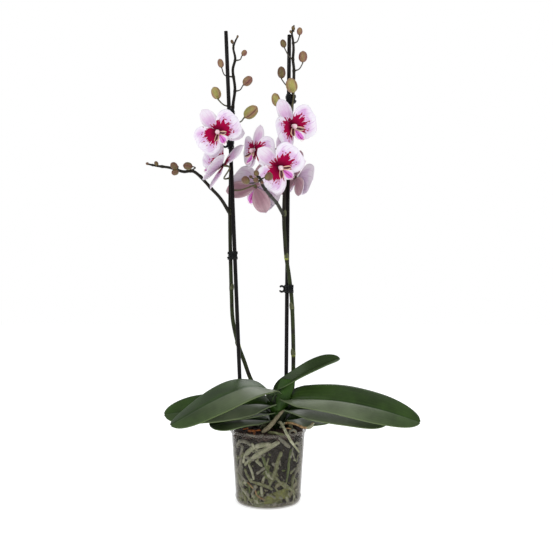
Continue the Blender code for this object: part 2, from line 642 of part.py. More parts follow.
def make_clips(paints):
    """A moulded band round the stake and the spike, with a finger tab at one end."""
    for name, (stake, spike, z) in CLIPS.items():
        stake_at = at_height(STAKES[stake], z)
        spike_at = at_height(SPIKES[spike]["stem"], z)
        apart = Vector((spike_at.x - stake_at.x, spike_at.y - stake_at.y, 0))
        middle = (stake_at + spike_at) / 2
        turn = Matrix.Rotation(math.atan2(apart.y, apart.x), 4, "Z")
        frame = Matrix.Translation((middle.x, middle.y, z)) @ turn
        long_half = apart.length / 2 + STAKE_RADIUS + 1.4 * MM
        wide_half = STAKE_RADIUS + 1.4 * MM
        bm = bmesh.new()
        shape = frame @ Matrix.Diagonal((long_half, wide_half, 1, 1)) @ Matrix.Translation((0, 0, -CLIP_HEIGHT / 2))
        ring = bmesh.ops.create_circle(bm, segments=20, radius=1.0, matrix=shape)
        edges = list({edge for vert in ring["verts"] for edge in vert.link_edges})
        grown = bmesh.ops.extrude_edge_only(bm, edges=edges)["geom"]
        verts = [g for g in grown if isinstance(g, bmesh.types.BMVert)]
        bmesh.ops.translate(bm, verts=verts, vec=(0, 0, CLIP_HEIGHT))
        bmesh.ops.recalc_face_normals(bm, faces=bm.faces)
        band = new_object(name, bm, paints["clip"])
        wall = solidify(band, CLIP_WALL).modifiers["thickness"]
        wall.offset = 1.0
        tab = bmesh.new()
        reach = long_half + CLIP_WALL + 1.5 * MM
        side = 1 if stake_at.x > spike_at.x else -1
        outwards = -1 if side > 0 else 1
        place = frame @ Matrix.Translation((outwards * reach, 0, 0)) @ Matrix.Diagonal((5 * MM, 3 * MM, 9 * MM, 1))
        bmesh.ops.create_cube(tab, size=1.0, matrix=place)
        combine(band, [new_object(name + "_tab", tab, paints["clip"])], "UNION")


# ---------------------------------------------------------------- crown and roots


def make_crown(paints):
    tube("crown", CROWN, CROWN_RADII_MM, paints["crown"], sides=12, count=8)


def wall_route(start_angle, turn, low, high, count):
    """A root's route round the inside of the wall, from high to low, in degrees and metres."""
    route = []
    for i in range(count):
        share = i / (count - 1)
        z = high + (low - high) * share
        angle = math.radians(start_angle + turn * share)
        radius = wall_radius(z) - POT_WALL - ROOT_ROOM / 2
        route.append((radius * math.cos(angle), radius * math.sin(angle), z))
    return route


# The roots that leave the pot: one hangs over the rim, a dry one runs along it, one is a stub.
AIR_ROOTS = {
    "rim_root": (
        ((0.013, -0.0130, 0.1180), (0.016, -0.026, 0.1215), (0.022, -0.046, 0.1205), (0.027, -0.060, 0.1150), (0.034, -0.0625, 0.1050), (0.041, -0.0590, 0.0950), (0.047, -0.0530, 0.0860)),
        (2.6, 2.5, 2.4, 2.2, 1.8, 1.0),
    ),
    "dry_root": (
        ((0.024, -0.0120, 0.1130), (0.034, -0.020, 0.1190), (0.045, -0.0280, 0.1175), (0.054, -0.0320, 0.1160), (0.062, -0.030, 0.1170), (0.070, -0.0260, 0.1210)),
        (1.5, 1.6, 1.5, 1.3, 0.9),
    ),
    "stub_root": (
        ((0.0180, -0.0150, 0.1400), (0.014, -0.0200, 0.1330), (0.008, -0.0260, 0.1240), (0.001, -0.0330, 0.1150), (-0.005, -0.0400, 0.1100)),
        (1.6, 3.0, 3.2, 3.4, 2.8),
    ),
}


def make_roots(paints):
    for name, (points, radii) in AIR_ROOTS.items():
        tube(name, points, radii, paints["root"], sides=7, count=12)
    tube("wall_root_1", wall_route(-150, 130, 0.012, 0.090, 9), (2.6, 2.8, 2.6, 2.2), paints["root"], sides=6, count=14)
    tube("wall_root_2", wall_route(20, 120, 0.014, 0.092, 9), (2.6, 2.8, 2.6, 2.2), paints["root"], sides=6, count=14)


def main():
    clear_scene()
    paints = make_materials()
    make_pot(paints)
    make_bark(paints)
    make_stakes(paints)
    make_crown(paints)
    make_roots(paints)
    make_leaves(paints)
    make_spikes(paints)
    make_clips(paints)
    make_buds(paints)
    make_flowers(paints)


main()
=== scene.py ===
# %% [markdown]
# # A potted moth orchid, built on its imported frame
#
# The plant stands in a clear nursery pot: two flower spikes tied to two dark stakes, seven open
# flowers, many buds, and a fan of thick leaves over bark and roots. The engineering model already
# says where every part is. This script loads it as a fixed frame and puts a finished piece in
# each part's place, so that only shape detail and surface finish are left to make here.

import math
import random

import bmesh
import bpy
from mathutils import Matrix, Vector, noise


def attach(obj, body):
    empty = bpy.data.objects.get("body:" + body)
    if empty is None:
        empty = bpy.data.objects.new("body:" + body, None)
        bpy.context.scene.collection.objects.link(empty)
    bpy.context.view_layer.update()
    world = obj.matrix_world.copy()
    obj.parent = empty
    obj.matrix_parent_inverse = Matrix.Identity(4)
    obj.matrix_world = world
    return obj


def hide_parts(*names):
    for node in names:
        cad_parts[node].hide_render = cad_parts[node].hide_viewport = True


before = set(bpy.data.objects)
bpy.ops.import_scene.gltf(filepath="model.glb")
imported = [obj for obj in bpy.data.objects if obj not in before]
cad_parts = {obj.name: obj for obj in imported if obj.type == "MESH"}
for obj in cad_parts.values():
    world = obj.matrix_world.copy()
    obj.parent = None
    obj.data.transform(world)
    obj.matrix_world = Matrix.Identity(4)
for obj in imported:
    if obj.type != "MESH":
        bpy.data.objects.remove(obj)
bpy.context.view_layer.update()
MM = 0.001

# %% [markdown]
# ## Camera, floor and light
#
# A tall plant is best seen through a fairly long lens from the height of its stems, so that the pot
# and the flowers keep their shape. The light is a soft studio: a bright surround, one big lamp high
# in front, and two smaller ones at the side and behind. Soft light suits petals and waxy leaves,
# because a small hard lamp would burn white spots into them.

# %% Camera and studio
def linear(colour):
    """An sRGB hex colour as the linear values that a shader works in."""
    values = [int(colour[i : i + 2], 16) / 255 for i in (1, 3, 5)]
    return (*(v / 12.92 if v <= 0.04045 else ((v + 0.055) / 1.055) ** 2.4 for v in values), 1.0)


def node(tree, kind, settings=None, inputs=None, out=0):
    """Adds a shader node and returns its output out, or the node itself if out is None.

    Settings are its options; an input is a number, a colour or another node's output.
    """
    made = tree.nodes.new("ShaderNode" + kind)
    for name, value in (settings or {}).items():
        setattr(made, name, value)
    for key, value in (inputs or {}).items():
        if isinstance(value, bpy.types.NodeSocket):
            tree.links.new(value, made.inputs[key])
        else:
            made.inputs[key].default_value = value
    return made if out is None else made.outputs[out]


def as_mesh(name, bm):
    """Turns a finished shape into a mesh."""
    mesh = bpy.data.meshes.new(name)
    bm.to_mesh(mesh)
    bm.free()
    return mesh


def as_object(name, data):
    """Puts a camera, a lamp or a mesh into the scene."""
    obj = bpy.data.objects.new(name, data)
    scene.collection.objects.link(obj)
    return obj


scene = bpy.context.scene
lens = bpy.data.cameras.new("camera")
lens.lens, lens.sensor_width = 43.29, 36.0
camera = as_object("camera", lens)
camera.location = (0.013, -1.05, 0.32)
camera.rotation_euler = (math.radians(91.6), 0.0, 0.0)
scene.camera = camera
scene.view_settings.view_transform = "Standard"

world = bpy.data.worlds.new("studio")
world.use_nodes = True
scene.world = world
surround = world.node_tree
surround.nodes.clear()
seen = node(surround, "Background", inputs={"Color": (1, 1, 1, 1), "Strength": 1.0})
soft = node(surround, "Background", inputs={"Color": linear("#F4F6FA"), "Strength": 0.5})
straight = node(surround, "LightPath", out="Is Camera Ray")
mixed = node(surround, "MixShader", inputs={0: straight, 1: soft, 2: seen})
node(surround, "OutputWorld", inputs={0: mixed}, out=None)


def lamp(name, place, target, size, watts, colour="#FFFFFF"):
    """A square soft box at a place, turned to a target."""
    light = bpy.data.lights.new(name, "AREA")
    light.size, light.energy, light.color = size, watts, linear(colour)[:3]
    turn = (Vector(place) - Vector(target)).to_track_quat("Z", "Y").to_matrix().to_4x4()
    as_object(name, light).matrix_world = Matrix.Translation(place) @ turn


lamp("front_box", (-0.9, -1.5, 1.5), (0, 0, 0.35), 1.1, 13)
lamp("side_box", (1.5, -0.6, 1.1), (0, 0, 0.35), 0.9, 6)
lamp("back_box", (0.3, 1.4, 1.5), (0, 0, 0.45), 1.0, 7)

bm = bmesh.new()
bmesh.ops.create_grid(bm, x_segments=1, y_segments=1, size=6.0, matrix=Matrix.Translation((0, 0, -0.2 * MM)))
floor = as_object("floor", as_mesh("floor", bm))
paper = bpy.data.materials.new("matt white backdrop paper")
paper.use_nodes = True
paper_shader = paper.node_tree.nodes["Principled BSDF"]
paper_shader.inputs["Base Color"].default_value = linear("#F4F4F4")
paper_shader.inputs["Roughness"].default_value = 0.9
# A light table: the paper also glows a little, so that it stays white far behind the pot.
paper_shader.inputs["Emission Color"].default_value = (1, 1, 1, 1)
paper_shader.inputs["Emission Strength"].default_value = 0.62
floor.data.materials.append(paper)
print("camera", tuple(camera.location), "lamps", len(bpy.data.lights))

# %% [markdown]
# ## Paths, bent grids and rolled grids
#
# Nearly everything on a plant is either a sheet, such as a leaf, or a tapering round, such as a
# root. Both can start as a flat grid of squares. The grid's own two directions are written into a
# UV map named "strip" while it is still flat, and then each point is moved to its place: bent for
# a sheet, rolled up for a round. The veins and grooves drawn later on "strip" so follow the growth
# of the piece, however it is curved.

# %% Helpers for shapes
def curve_point(points, t):
    """The value at t, from 0 to 1, on the smooth curve through the listed points or numbers."""
    place = min(max(t, 0.0), 1.0) * (len(points) - 1)
    i = min(int(place), len(points) - 2)
    u = place - i
    p1, p2 = points[i], points[i + 1]
    p0 = points[i - 1] if i > 0 else p1 * 2 - p2
    p3 = points[i + 2] if i + 2 < len(points) else p2 * 2 - p1
    square, cube = p0 * 2 - p1 * 5 + p2 * 4 - p3, (p1 - p2) * 3 + p3 - p0
    return (p1 * 2 + (p2 - p0) * u + square * u**2 + cube * u**3) * 0.5


def vectors(points, unit=1.0):
    return [Vector(p) * unit for p in points]


def bent_grid(bm, along, across, place, row=lambda u: u, finish=0, flat=None):
    """A grid bent by place(t, s). Its t and s, both from 0 to 1, go into the UV map "strip" first."""
    strip = bm.loops.layers.uv.get("strip") or bm.loops.layers.uv.new("strip")
    level = (bm.loops.layers.uv.get("flat") or bm.loops.layers.uv.new("flat")) if flat else None
    grid = bmesh.ops.create_grid(bm, x_segments=along, y_segments=across, size=0.5)
    spots = {vert: (row(vert.co.x + 0.5), vert.co.y + 0.5) for vert in grid["verts"]}
    for face in {face for vert in grid["verts"] for face in vert.link_faces}:
        face.material_index = finish
        for loop in face.loops:
            loop[strip].uv = spots[loop.vert]
            if flat:
                loop[level].uv = flat(*spots[loop.vert])
    for vert, spot in spots.items():
        vert.co = place(*spot)


def rolled(bm, points, radius, rings, sides, finish=0, dome=1.0):
    """A closed round along a path: a grid rolled up, whose radius(t, angle) is in metres.

    Dome 1 rounds both ends over; near 0 cuts them square.
    """
    points = vectors(points)
    steps = [curve_point(points, i / 60) for i in range(61)]
    length = sum((there - here).length for here, there in zip(steps, steps[1:]))
    first, last = (min(0.3, dome * radius(end, 0) / length) for end in (0, 1))
    body = [first + (1 - first - last) * i / rings for i in range(rings + 1)]
    shares = [0.0, 0.28 * first, *body, 1 - 0.28 * last, 1.0]
    sizes = [0.0, 0.7, *([1.0] * len(body)), 0.7, 0.0]
    sizes[2] = sizes[-3] = 0.97
    frames, side = {}, None
    for share, size in zip(shares, sizes):
        ahead = (curve_point(points, share + 0.01) - curve_point(points, share - 0.01)).normalized()
        side = ahead.orthogonal() if side is None else side
        side = (side - ahead * side.dot(ahead)).normalized()
        turn = Matrix((side, ahead.cross(side), ahead)).transposed().to_4x4()
        frames[share] = (Matrix.Translation(curve_point(points, share)) @ turn, size)

    def place(t, s):
        matrix, size = frames[t]
        angle = 2 * math.pi * s
        reach = radius(t, angle) * size
        return matrix @ Vector((math.cos(angle) * reach, math.sin(angle) * reach, 0))

    last_row = len(shares) - 1
    bent_grid(bm, last_row, sides, place, row=lambda u: shares[round(u * last_row)], finish=finish)


def piece(name, bm, finishes, stands_for=(), wall=None, back=0, sharp=None):
    """Finishes a shape: merged, faces outwards, smooth, with a wall if it is a sheet, and tied to the plant."""
    bmesh.ops.remove_doubles(bm, verts=bm.verts, dist=0.004 * MM)
    if wall is None:
        bmesh.ops.recalc_face_normals(bm, faces=bm.faces)
    for face in bm.faces:
        face.smooth = True
    mesh = as_mesh(name, bm)
    for material in finishes:
        mesh.materials.append(material)
    if sharp:
        mesh.set_sharp_from_angle(angle=math.radians(sharp))
    obj = as_object(name, mesh)
    if wall:
        thick = obj.modifiers.new("wall", "SOLIDIFY")
        thick.thickness, thick.offset = wall, 0.0
        thick.use_even_offset = False
        thick.material_offset = back
    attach(obj, "root")
    if stands_for:
        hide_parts(*stands_for)
    return obj


def spun(outline, steps):
    """A shape turned on a lathe: an outline of (radius, height) places, spun round the upright axis."""
    bm = bmesh.new()
    verts = [bm.verts.new((r, 0, z)) for r, z in outline]
    edges = [bm.edges.new(pair) for pair in zip(verts, verts[1:])]
    bmesh.ops.spin(
        bm, geom=verts + edges, axis=(0, 0, 1), cent=(0, 0, 0), angle=2 * math.pi, steps=steps, use_merge=True
    )
    return bm


def turned(angle, axis):
    """A turn by an angle in radians round one axis."""
    return Matrix.Rotation(angle, 4, axis)


def round_place(reach, angle, z):
    """A place at a distance from the upright axis, an angle from +X and a height."""
    return Vector((reach * math.cos(angle), reach * math.sin(angle), z))


def lumps(place, scale, seed=0.0):
    """Smooth noise from -1 to 1 at a place, with features of about 1 / scale metres."""
    return noise.noise(Vector(place) * scale + Vector((seed, seed * 1.7, seed * 0.3)))


print("helpers ready")

# %% [markdown]
# ## Two ways to start a finish
#
# Most plant skins are mottled: two or three close colours in soft patches, with a finer grain that
# also roughens the surface. One function makes that kind of finish from real sizes in millimetres.
# Finishes with a pattern of their own, such as the petals, start from a bare shader instead. All of
# them end the same way: colours laid over each other, and a relief.

# %% Helpers for finishes
SMOOTH, RGBA, TIMES = {"interpolation_type": "SMOOTHSTEP"}, {"data_type": "RGBA"}, {"operation": "MULTIPLY"}


def bare(name, roughness, **sockets):
    """A new material with its shader's fixed values set: returns the material, its node tree and its shader."""
    material = bpy.data.materials.new(name)
    material.use_nodes = True
    shader = material.node_tree.nodes["Principled BSDF"]
    shader.inputs["Roughness"].default_value = roughness
    for socket, value in sockets.items():
        shader.inputs[socket.replace("_", " ")].default_value = value
    return material, material.node_tree, shader


def dress(skin, colour, layers, height, depth_mm):
    """Lays each (share, colour) over the first colour, adds a relief, and returns the finished material."""
    material, tree, shader = skin
    for share, over in layers:
        over = linear(over) if isinstance(over, str) else over
        colour = node(tree, "Mix", RGBA, {0: share, 6: colour, 7: over}, 2)
    tree.links.new(colour, shader.inputs["Base Color"])
    bump = node(tree, "Bump", inputs={"Strength": 1.0, "Distance": depth_mm * MM, "Height": height})
    tree.links.new(bump, shader.inputs["Normal"])
    return material


def mottled(name, colours, patch_mm, grain_mm, depth_mm, roughness, squash=(1, 1, 1), **sockets):
    """A skin of three colours: the second in patches over the first, and the third in fine grain."""
    skin = bare(name, roughness, **sockets)
    tree = skin[1]
    place = node(tree, "TexCoord", out="Object")
    place = node(tree, "Mapping", inputs={"Vector": place, "Scale": squash})
    patch = node(tree, "TexNoise", inputs={"Vector": place, "Scale": 1000 / patch_mm, "Detail": 3.0})
    grain = {"Vector": place, "Scale": 1000 / grain_mm, "Detail": 4.0, "Roughness": 0.6}
    grain = node(tree, "TexNoise", inputs=grain)
    where = node(tree, "MapRange", SMOOTH, {0: patch, 1: 0.4, 2: 0.6})
    fine = node(tree, "MapRange", SMOOTH, {0: grain, 1: 0.52, 2: 0.7})
    return dress(skin, linear(colours[0]), ((where, colours[1]), (fine, colours[2])), grain, depth_mm)


def growth_map(tree):
    """The "strip" map of a piece, with the ways along and across it, both from 0 to 1."""
    strip = node(tree, "UVMap", {"uv_map": "strip"})
    return (strip, *node(tree, "SeparateXYZ", inputs={0: strip}, out=None).outputs[:2])


def from_middle(tree, across):
    """The way across from -1 to 1, and how far that is from the middle line."""
    side = node(tree, "Math", {"operation": "MULTIPLY_ADD"}, {0: across, 1: 2.0, 2: -1.0})
    return side, node(tree, "Math", {"operation": "ABSOLUTE"}, {0: side})


def growth_lines(tree, strip, along, across, distortion=0.0):
    """Fine lines that follow the growth of a piece: noise with few features along and many across."""
    lines = node(tree, "Mapping", inputs={"Vector": strip, "Scale": (along, across, 1.0)})
    return node(tree, "TexNoise", inputs={"Vector": lines, "Scale": 1.0, "Detail": 2.0, "Distortion": distortion})


print("finishes start from", bare.__name__, "or", mottled.__name__)

# %% [markdown]
# ## The clear nursery pot
#
# Nursery pots for orchids are thin clear polypropylene, so that the green roots get light. The
# wall is about a millimetre, turned out at the rim, with a small foot ring and holes in the floor.
# The whole pot is one profile spun round the upright axis. Its plastic isn't glass: it is a grey
# haze with faint damp patches, and it is densest where the wall is seen edge on, so its opacity
# is what the finish describes. The rim and the foot are thicker, so they get a milkier plastic.

# %% Pot
POT_HEIGHT, POT_RIM, POT_TOP, POT_BASE = 112 * MM, 60 * MM, 58 * MM, 50 * MM
POT_WALL, POT_FLOOR = 1.0 * MM, 1.6 * MM


def wall_radius(z):
    """The pot's outer radius at height z."""
    return POT_BASE + (POT_TOP - POT_BASE) * z / POT_HEIGHT


def clear_plastic(name, haze, most, colour):
    """Hazy polypropylene: transparent where it is thin, milky where it is damp or seen edge on."""
    material, tree, shader = bare(name, 0.16, IOR=1.49, Specular_IOR_Level=0.35)
    shader.inputs["Base Color"].default_value = linear(colour)
    place = node(tree, "TexCoord", out="Object")
    damp = node(tree, "TexNoise", inputs={"Vector": place, "Scale": 60.0, "Detail": 4.0})
    edge = node(tree, "LayerWeight", inputs={"Blend": 0.35}, out="Facing")
    cloud = node(tree, "MapRange", inputs={0: damp, 1: 0.35, 2: 0.75, 3: haze, 4: haze * 1.7})
    rim = node(tree, "MapRange", SMOOTH, {0: edge, 1: 0.28, 2: 0.92, 4: most})
    alpha = node(tree, "Math", {"operation": "ADD", "use_clamp": True}, {0: cloud, 1: rim})
    tree.links.new(alpha, shader.inputs["Alpha"])
    return material


pot_plastic = clear_plastic("clear polypropylene, smoky", 0.055, 0.62, "#756F65")
pot_edge = clear_plastic("clear polypropylene, thick edge", 0.17, 0.55, "#857F75")

profile = [(0.0, POT_FLOOR), (30 * MM, POT_FLOOR), (47 * MM, POT_FLOOR), (49 * MM, POT_FLOOR + 2 * MM)]
profile += [(wall_radius(z * MM) - POT_WALL, z * MM) for z in (9, 60, 108)]
rolled_rim = ((57.4, 110.8), (58.2, 112), (59.3, 112), (60, 111.2), (60, 108.6), (59.4, 108))
profile += [(r * MM, z * MM) for r, z in rolled_rim]
profile += [(wall_radius(low * MM) + out * MM, z * MM) for low, z, out in (
    (108, 107.6, 0), (60, 60, 0), (10, 10, 0), (9, 9.2, 0.9), (8, 7.6, 0.9),
)]
profile += [(r * MM, z * MM) for r, z in ((50, 2.4), (48.6, 0.5), (47, 0), (44, 0), (43, 0.6), (0, 0.6))]
bm = spun(profile, 96)
for face in bm.faces:
    middle = face.calc_center_median()
    face.material_index = int(middle.z > 107.7 * MM or middle.z < 9.6 * MM and middle.xy.length > 44 * MM)
pot = piece("nursery_pot", bm, [pot_plastic, pot_edge], ["pot"], sharp=50)

HOLES, HOLE_RADIUS, HOLE_REACH = 6, 4 * MM, 34 * MM
bm = bmesh.new()
for index in range(HOLES):
    bmesh.ops.create_cone(
        bm, cap_ends=True, segments=24, radius1=HOLE_RADIUS, radius2=HOLE_RADIUS, depth=9 * MM,
        matrix=turned(2 * math.pi * index / HOLES, "Z") @ Matrix.Translation((HOLE_REACH, 0, 0)),
    )
drill = as_object("drill", as_mesh("drill", bm))
cut = pot.modifiers.new("drain holes", "BOOLEAN")
cut.operation, cut.object = "DIFFERENCE", drill
bpy.context.view_layer.update()
drilled = bpy.data.meshes.new_from_object(pot.evaluated_get(bpy.context.evaluated_depsgraph_get()))
pot.modifiers.clear()
pot.data = drilled
bpy.data.objects.remove(drill)
print("pot:", len(pot.data.polygons), "faces, drain holes", HOLES)

# %% [markdown]
# ## Bark
#
# The pot is filled with coarse pine bark. On top it is dark red-brown chips. Inside, seen through the wall
# between the roots, the same bark is coloured nearly black: partly damp bark and partly painted shade of
# the pot's inside. A lumpy plug of this darkened bark fills the middle, and a few low-poly chips, made
# once, are copied round the wall and over the top: enough faces for a chip's split edges, few enough for
# hundreds of copies.

# %% Bark
chance = random.Random(11)
# Bark inside the pot: near black, partly damp bark and partly painted shade of the pot's inside. The chips on top
# keep the lit bark colour.
bark_in_painted_shade = mottled(
    "pine bark, damp and in painted shade", ("#0B0807", "#140E0C", "#261B16"), 9, 1.6, 0.7, 0.8, squash=(1, 1, 1.8), Specular_IOR_Level=0.25
)
bark_chip = mottled("pine bark chips", ("#241814", "#38241E", "#5A3D31"), 6, 1.2, 0.6, 0.75)
bark_fresh = mottled(
    "torn orange bark", ("#94501F", "#B0692F", "#5A2D14"), 4, 1.0, 0.5, 0.65, squash=(1, 1, 0.4)
)

BARK_TOP = 103 * MM
rows = [(0.0, BARK_TOP), (0.35, BARK_TOP), (0.7, BARK_TOP), (0.95, BARK_TOP - 2 * MM), (1.0, BARK_TOP - 5 * MM)]
rows += [(1.0, BARK_TOP - 5 * MM - i * 10 * MM) for i in range(1, 10)] + [(0.97, 2.4 * MM), (0.0, 2.4 * MM)]
bm = spun([(share * (wall_radius(z) - 6.2 * MM), z) for share, z in rows], 72)
bmesh.ops.remove_doubles(bm, verts=bm.verts, dist=0.01 * MM)
bmesh.ops.subdivide_edges(bm, edges=bm.edges, cuts=1, use_grid_fill=True)
for vert in bm.verts:
    outward = Vector((vert.co.x, vert.co.y, 0)).normalized()
    vert.co += outward * (lumps(vert.co, 110) * 1.6 - 0.8) * MM
    if vert.co.z > 50 * MM:
        vert.co.z += lumps(vert.co, 130, 5) * 1.8 * MM
piece("bark_plug", bm, [bark_in_painted_shade], ["bark_mix"])


def chip_template(seed):
    """One bark chip, about one unit long: a slab with split, uneven faces."""
    bm = bmesh.new()
    bmesh.ops.create_cube(bm, size=1.0, matrix=Matrix.Diagonal((1.0, 0.62, 0.3, 1.0)))
    bmesh.ops.subdivide_edges(bm, edges=bm.edges, cuts=1, use_grid_fill=True)
    for vert in bm.verts:
        shift = [lumps(vert.co, 1.9, seed + axis * 9) * size for axis, size in enumerate((0.34, 0.26, 0.16))]
        vert.co += Vector(shift)
    return as_mesh(f"chip_{seed}", bm)


CHIPS = [chip_template(seed) for seed in (3, 14, 25, 36, 47)]


def scatter(bm, mesh, matrix, finish=0):
    """Adds a copy of a small mesh at a matrix."""
    bm.verts.ensure_lookup_table()
    bm.faces.ensure_lookup_table()
    verts, faces = len(bm.verts), len(bm.faces)
    bm.from_mesh(mesh)
    bm.verts.ensure_lookup_table()
    bm.faces.ensure_lookup_table()
    bmesh.ops.transform(bm, matrix=matrix, verts=bm.verts[verts:])
    for face in bm.faces[faces:]:
        face.material_index = finish


def keep_inside(bm):
    """Presses whatever would stick through the pot back against its floor and wall."""
    for vert in bm.verts:
        vert.co.z = max(vert.co.z, POT_FLOOR + 0.3 * MM)
        most = min(wall_radius(vert.co.z) - POT_WALL - 0.2 * MM, 45.2 * MM + vert.co.z)
        if vert.co.xy.length > most:
            vert.co.xy = vert.co.xy * (most / vert.co.xy.length)


def random_turn():
    """A lying turn: any way round, tilted a little in the two other directions."""
    turn = turned(chance.uniform(0, 2 * math.pi), "Z")
    tilt = turned(chance.uniform(-0.9, 0.9), "X")
    return turn @ tilt @ turned(chance.uniform(-0.5, 0.5), "Y")


LOOSE, AT_EDGE, AT_WALL, SPREAD = 230, 40, 150, 51 * MM
bm = bmesh.new()
for _ in range(LOOSE):
    reach = SPREAD * math.sqrt(chance.random())
    angle = chance.uniform(0, 2 * math.pi)
    size = chance.uniform(7, 15) * MM
    # The heap is higher in the middle, at the back and on the right.
    lift = chance.uniform(-1.0, 4.0) + 6.0 * max(0.0, math.sin(angle)) + 3.5 * (1 - reach / SPREAD)
    lift += 6.0 * max(0.0, math.cos(angle - 0.7)) * (1 - (reach / SPREAD) ** 4)
    place = Matrix.Translation(round_place(reach, angle, BARK_TOP + lift * MM))
    finish = 0 if chance.random() < 0.95 else 1
    scatter(bm, chance.choice(CHIPS), place @ random_turn() @ Matrix.Scale(size, 4), finish)
for index in range(AT_EDGE):
    angle = math.radians(-10 + 5 * index + chance.uniform(-3, 3))
    reach = chance.uniform(45, 49) * MM
    place = Matrix.Translation(round_place(reach, angle, BARK_TOP + chance.uniform(0, 4) * MM))
    scatter(bm, chance.choice(CHIPS), place @ random_turn() @ Matrix.Scale(chance.uniform(8, 13) * MM, 4))
piece("bark_chips_on_top", bm, [bark_chip, bark_fresh], sharp=38)

bm = bmesh.new()
for _ in range(AT_WALL):
    angle, z = chance.uniform(0, 2 * math.pi), chance.uniform(6, 96) * MM
    size = chance.uniform(8, 15) * MM
    place = Matrix.Translation(round_place(wall_radius(z) - chance.uniform(5.6, 6.8) * MM, angle, z))
    lie = turned(angle, "Z") @ turned(math.pi / 2, "Y") @ turned(chance.uniform(0, 6.3), "Z")
    scatter(bm, chance.choice(CHIPS), place @ lie @ Matrix.Scale(size, 4), 0)
keep_inside(bm)
piece("bark_chips_at_wall", bm, [bark_in_painted_shade], sharp=38)
print("bark chips:", LOOSE + AT_EDGE + AT_WALL)

# %% [markdown]
# ## Roots
#
# A moth orchid's roots are as thick as a pencil and covered in velamen, a spongy skin that is
# silver when it is dry and green when it is wet. Inside the pot they lie against the wall. Each
# root is a rolled grid with a slowly changing thickness. Routes inside the pot are listed as an
# angle from the front and a height, which the wall's own radius turns into a place.

# %% Root skins
velamen = mottled("velamen, dry silver", ("#8B8C6E", "#A8A78C", "#4E4F33"), 7, 1.3, 0.3, 0.7)
velamen_green = mottled("velamen, damp green", ("#62663F", "#7D7F59", "#393A1B"), 6, 1.3, 0.3, 0.6)
velamen_grey = mottled("velamen, old grey", ("#6E6C5C", "#868371", "#444233"), 8, 1.3, 0.3, 0.75)
root_moss = mottled("green root with algae", ("#46531F", "#5F6B33", "#2A3412"), 4, 1.1, 0.2, 0.6)
root_dry = mottled("withered root fibre", ("#8E6E46", "#AD8E64", "#5E4327"), 5, 0.8, 0.3, 0.7, squash=(1, 1, 0.6))
root_dead = mottled("dead root, tan", ("#786F57", "#948B6E", "#433A28"), 5, 1.1, 0.35, 0.75)
root_skins = [velamen, velamen_green, velamen_grey, root_moss, root_dry, root_dead]


def root(bm, points, radii_mm, finish, rings=34, sides=12, seed=0.0, rough=0.12):
    """One root: its radii are spread along it, and slow lumps make it uneven."""
    def radius(t, angle):
        lump = noise.noise(Vector((math.cos(angle) * 0.7, math.sin(angle) * 0.7, t * 9 + seed)))
        return curve_point(radii_mm, t) * (1 + rough * lump) * MM
    rolled(bm, points, radius, rings, sides, finish)


def wall_place(angle, height, inset):
    """A place inside the pot: degrees round from the front, mm up, and mm in from the outer wall."""
    reach = wall_radius(height * MM) - inset * MM
    turn = math.radians(angle)
    return Vector((reach * math.sin(turn), -reach * math.cos(turn), height * MM))


def flat_on_wall(angle, spin):
    """A turn that lays a piece on the wall at an angle in degrees, and spins it there by radians."""
    return turned(math.radians(angle), "Z") @ turned(math.pi / 2, "X") @ turned(spin, "Z")


# %% Roots inside the pot
# Each root: its finish, its thickness in mm, and its (angle, height) points, from the crown down.
FRONT_ROOTS = (
    (0, 7.4, ((20, 101), (5, 94), (-15, 83), (-31, 73), (-45, 62))),
    (0, 7.4, ((6, 98), (-14, 95), (-31, 87), (-42, 77), (-49, 65))),
    (2, 6.6, ((-46, 93), (-53, 78), (-55, 61), (-54, 44), (-55, 22), (-52, 6))),
    (2, 5.8, ((-66, 86), (-55, 97), (-40, 99), (-28, 94))),
    (1, 5.4, ((23, 86), (18, 74), (14, 60), (8, 46), (1, 31))),
    (3, 4.2, ((42, 88), (39, 70), (37, 54), (35, 38))),
    (0, 4.0, ((-34, 66), (-28, 54), (-25, 43))),
    (1, 4.4, ((-44, 58), (-37, 46), (-29, 38))),
    (0, 4.6, ((-21, 73), (-15, 69), (-9, 64))),
    (3, 4.8, ((-9, 80), (-4, 67), (0, 56), (-5, 47))),
    (1, 5.2, ((-34, 41), (-16, 38), (0, 34), (9, 29))),
    (4, 2.2, ((-38, 38), (-24, 28), (-17, 19), (1, 11))),
    (2, 5.2, ((64, 96), (72, 70), (75, 40))),
    (2, 6.4, ((88, 60), (78, 42), (80, 15))),
    (1, 5.4, ((25, 40), (44, 27), (70, 14))),
    (1, 3.8, ((10, 52), (19, 42), (30, 31))),
    (2, 5.8, ((17, 107), (29, 98), (40, 90))),
    (1, 5.0, ((-66, 18), (-58, 4))),
    (1, 4.6, ((-49, 17), (-43, 5))),
    (0, 4.4, ((-12, 34), (-10, 18))),
    (1, 5.6, ((-28, 9), (-8, 8), (12, 6))),
    (2, 6.0, ((-62, 60), (-70, 40), (-72, 16))),
    (0, 5.0, ((-30, 22), (-22, 12), (-14, 4))),
    (1, 4.8, ((52, 48), (50, 30), (60, 10))),
)
bm = bmesh.new()
for index, (finish, thickness, route) in enumerate(FRONT_ROOTS):
    inset = 1.4 + thickness / 2
    points = [wall_place(*spot, inset + (0.8 if i % 2 else 0.0)) for i, spot in enumerate(route)]
    radii = [thickness / 2 * s for s in (0.85, 1.0, 1.04, 0.95, 0.7)]
    root(bm, points, radii, finish, rings=30, seed=index * 3.1)
keep_inside(bm)
piece("roots_at_front_wall", bm, root_skins)

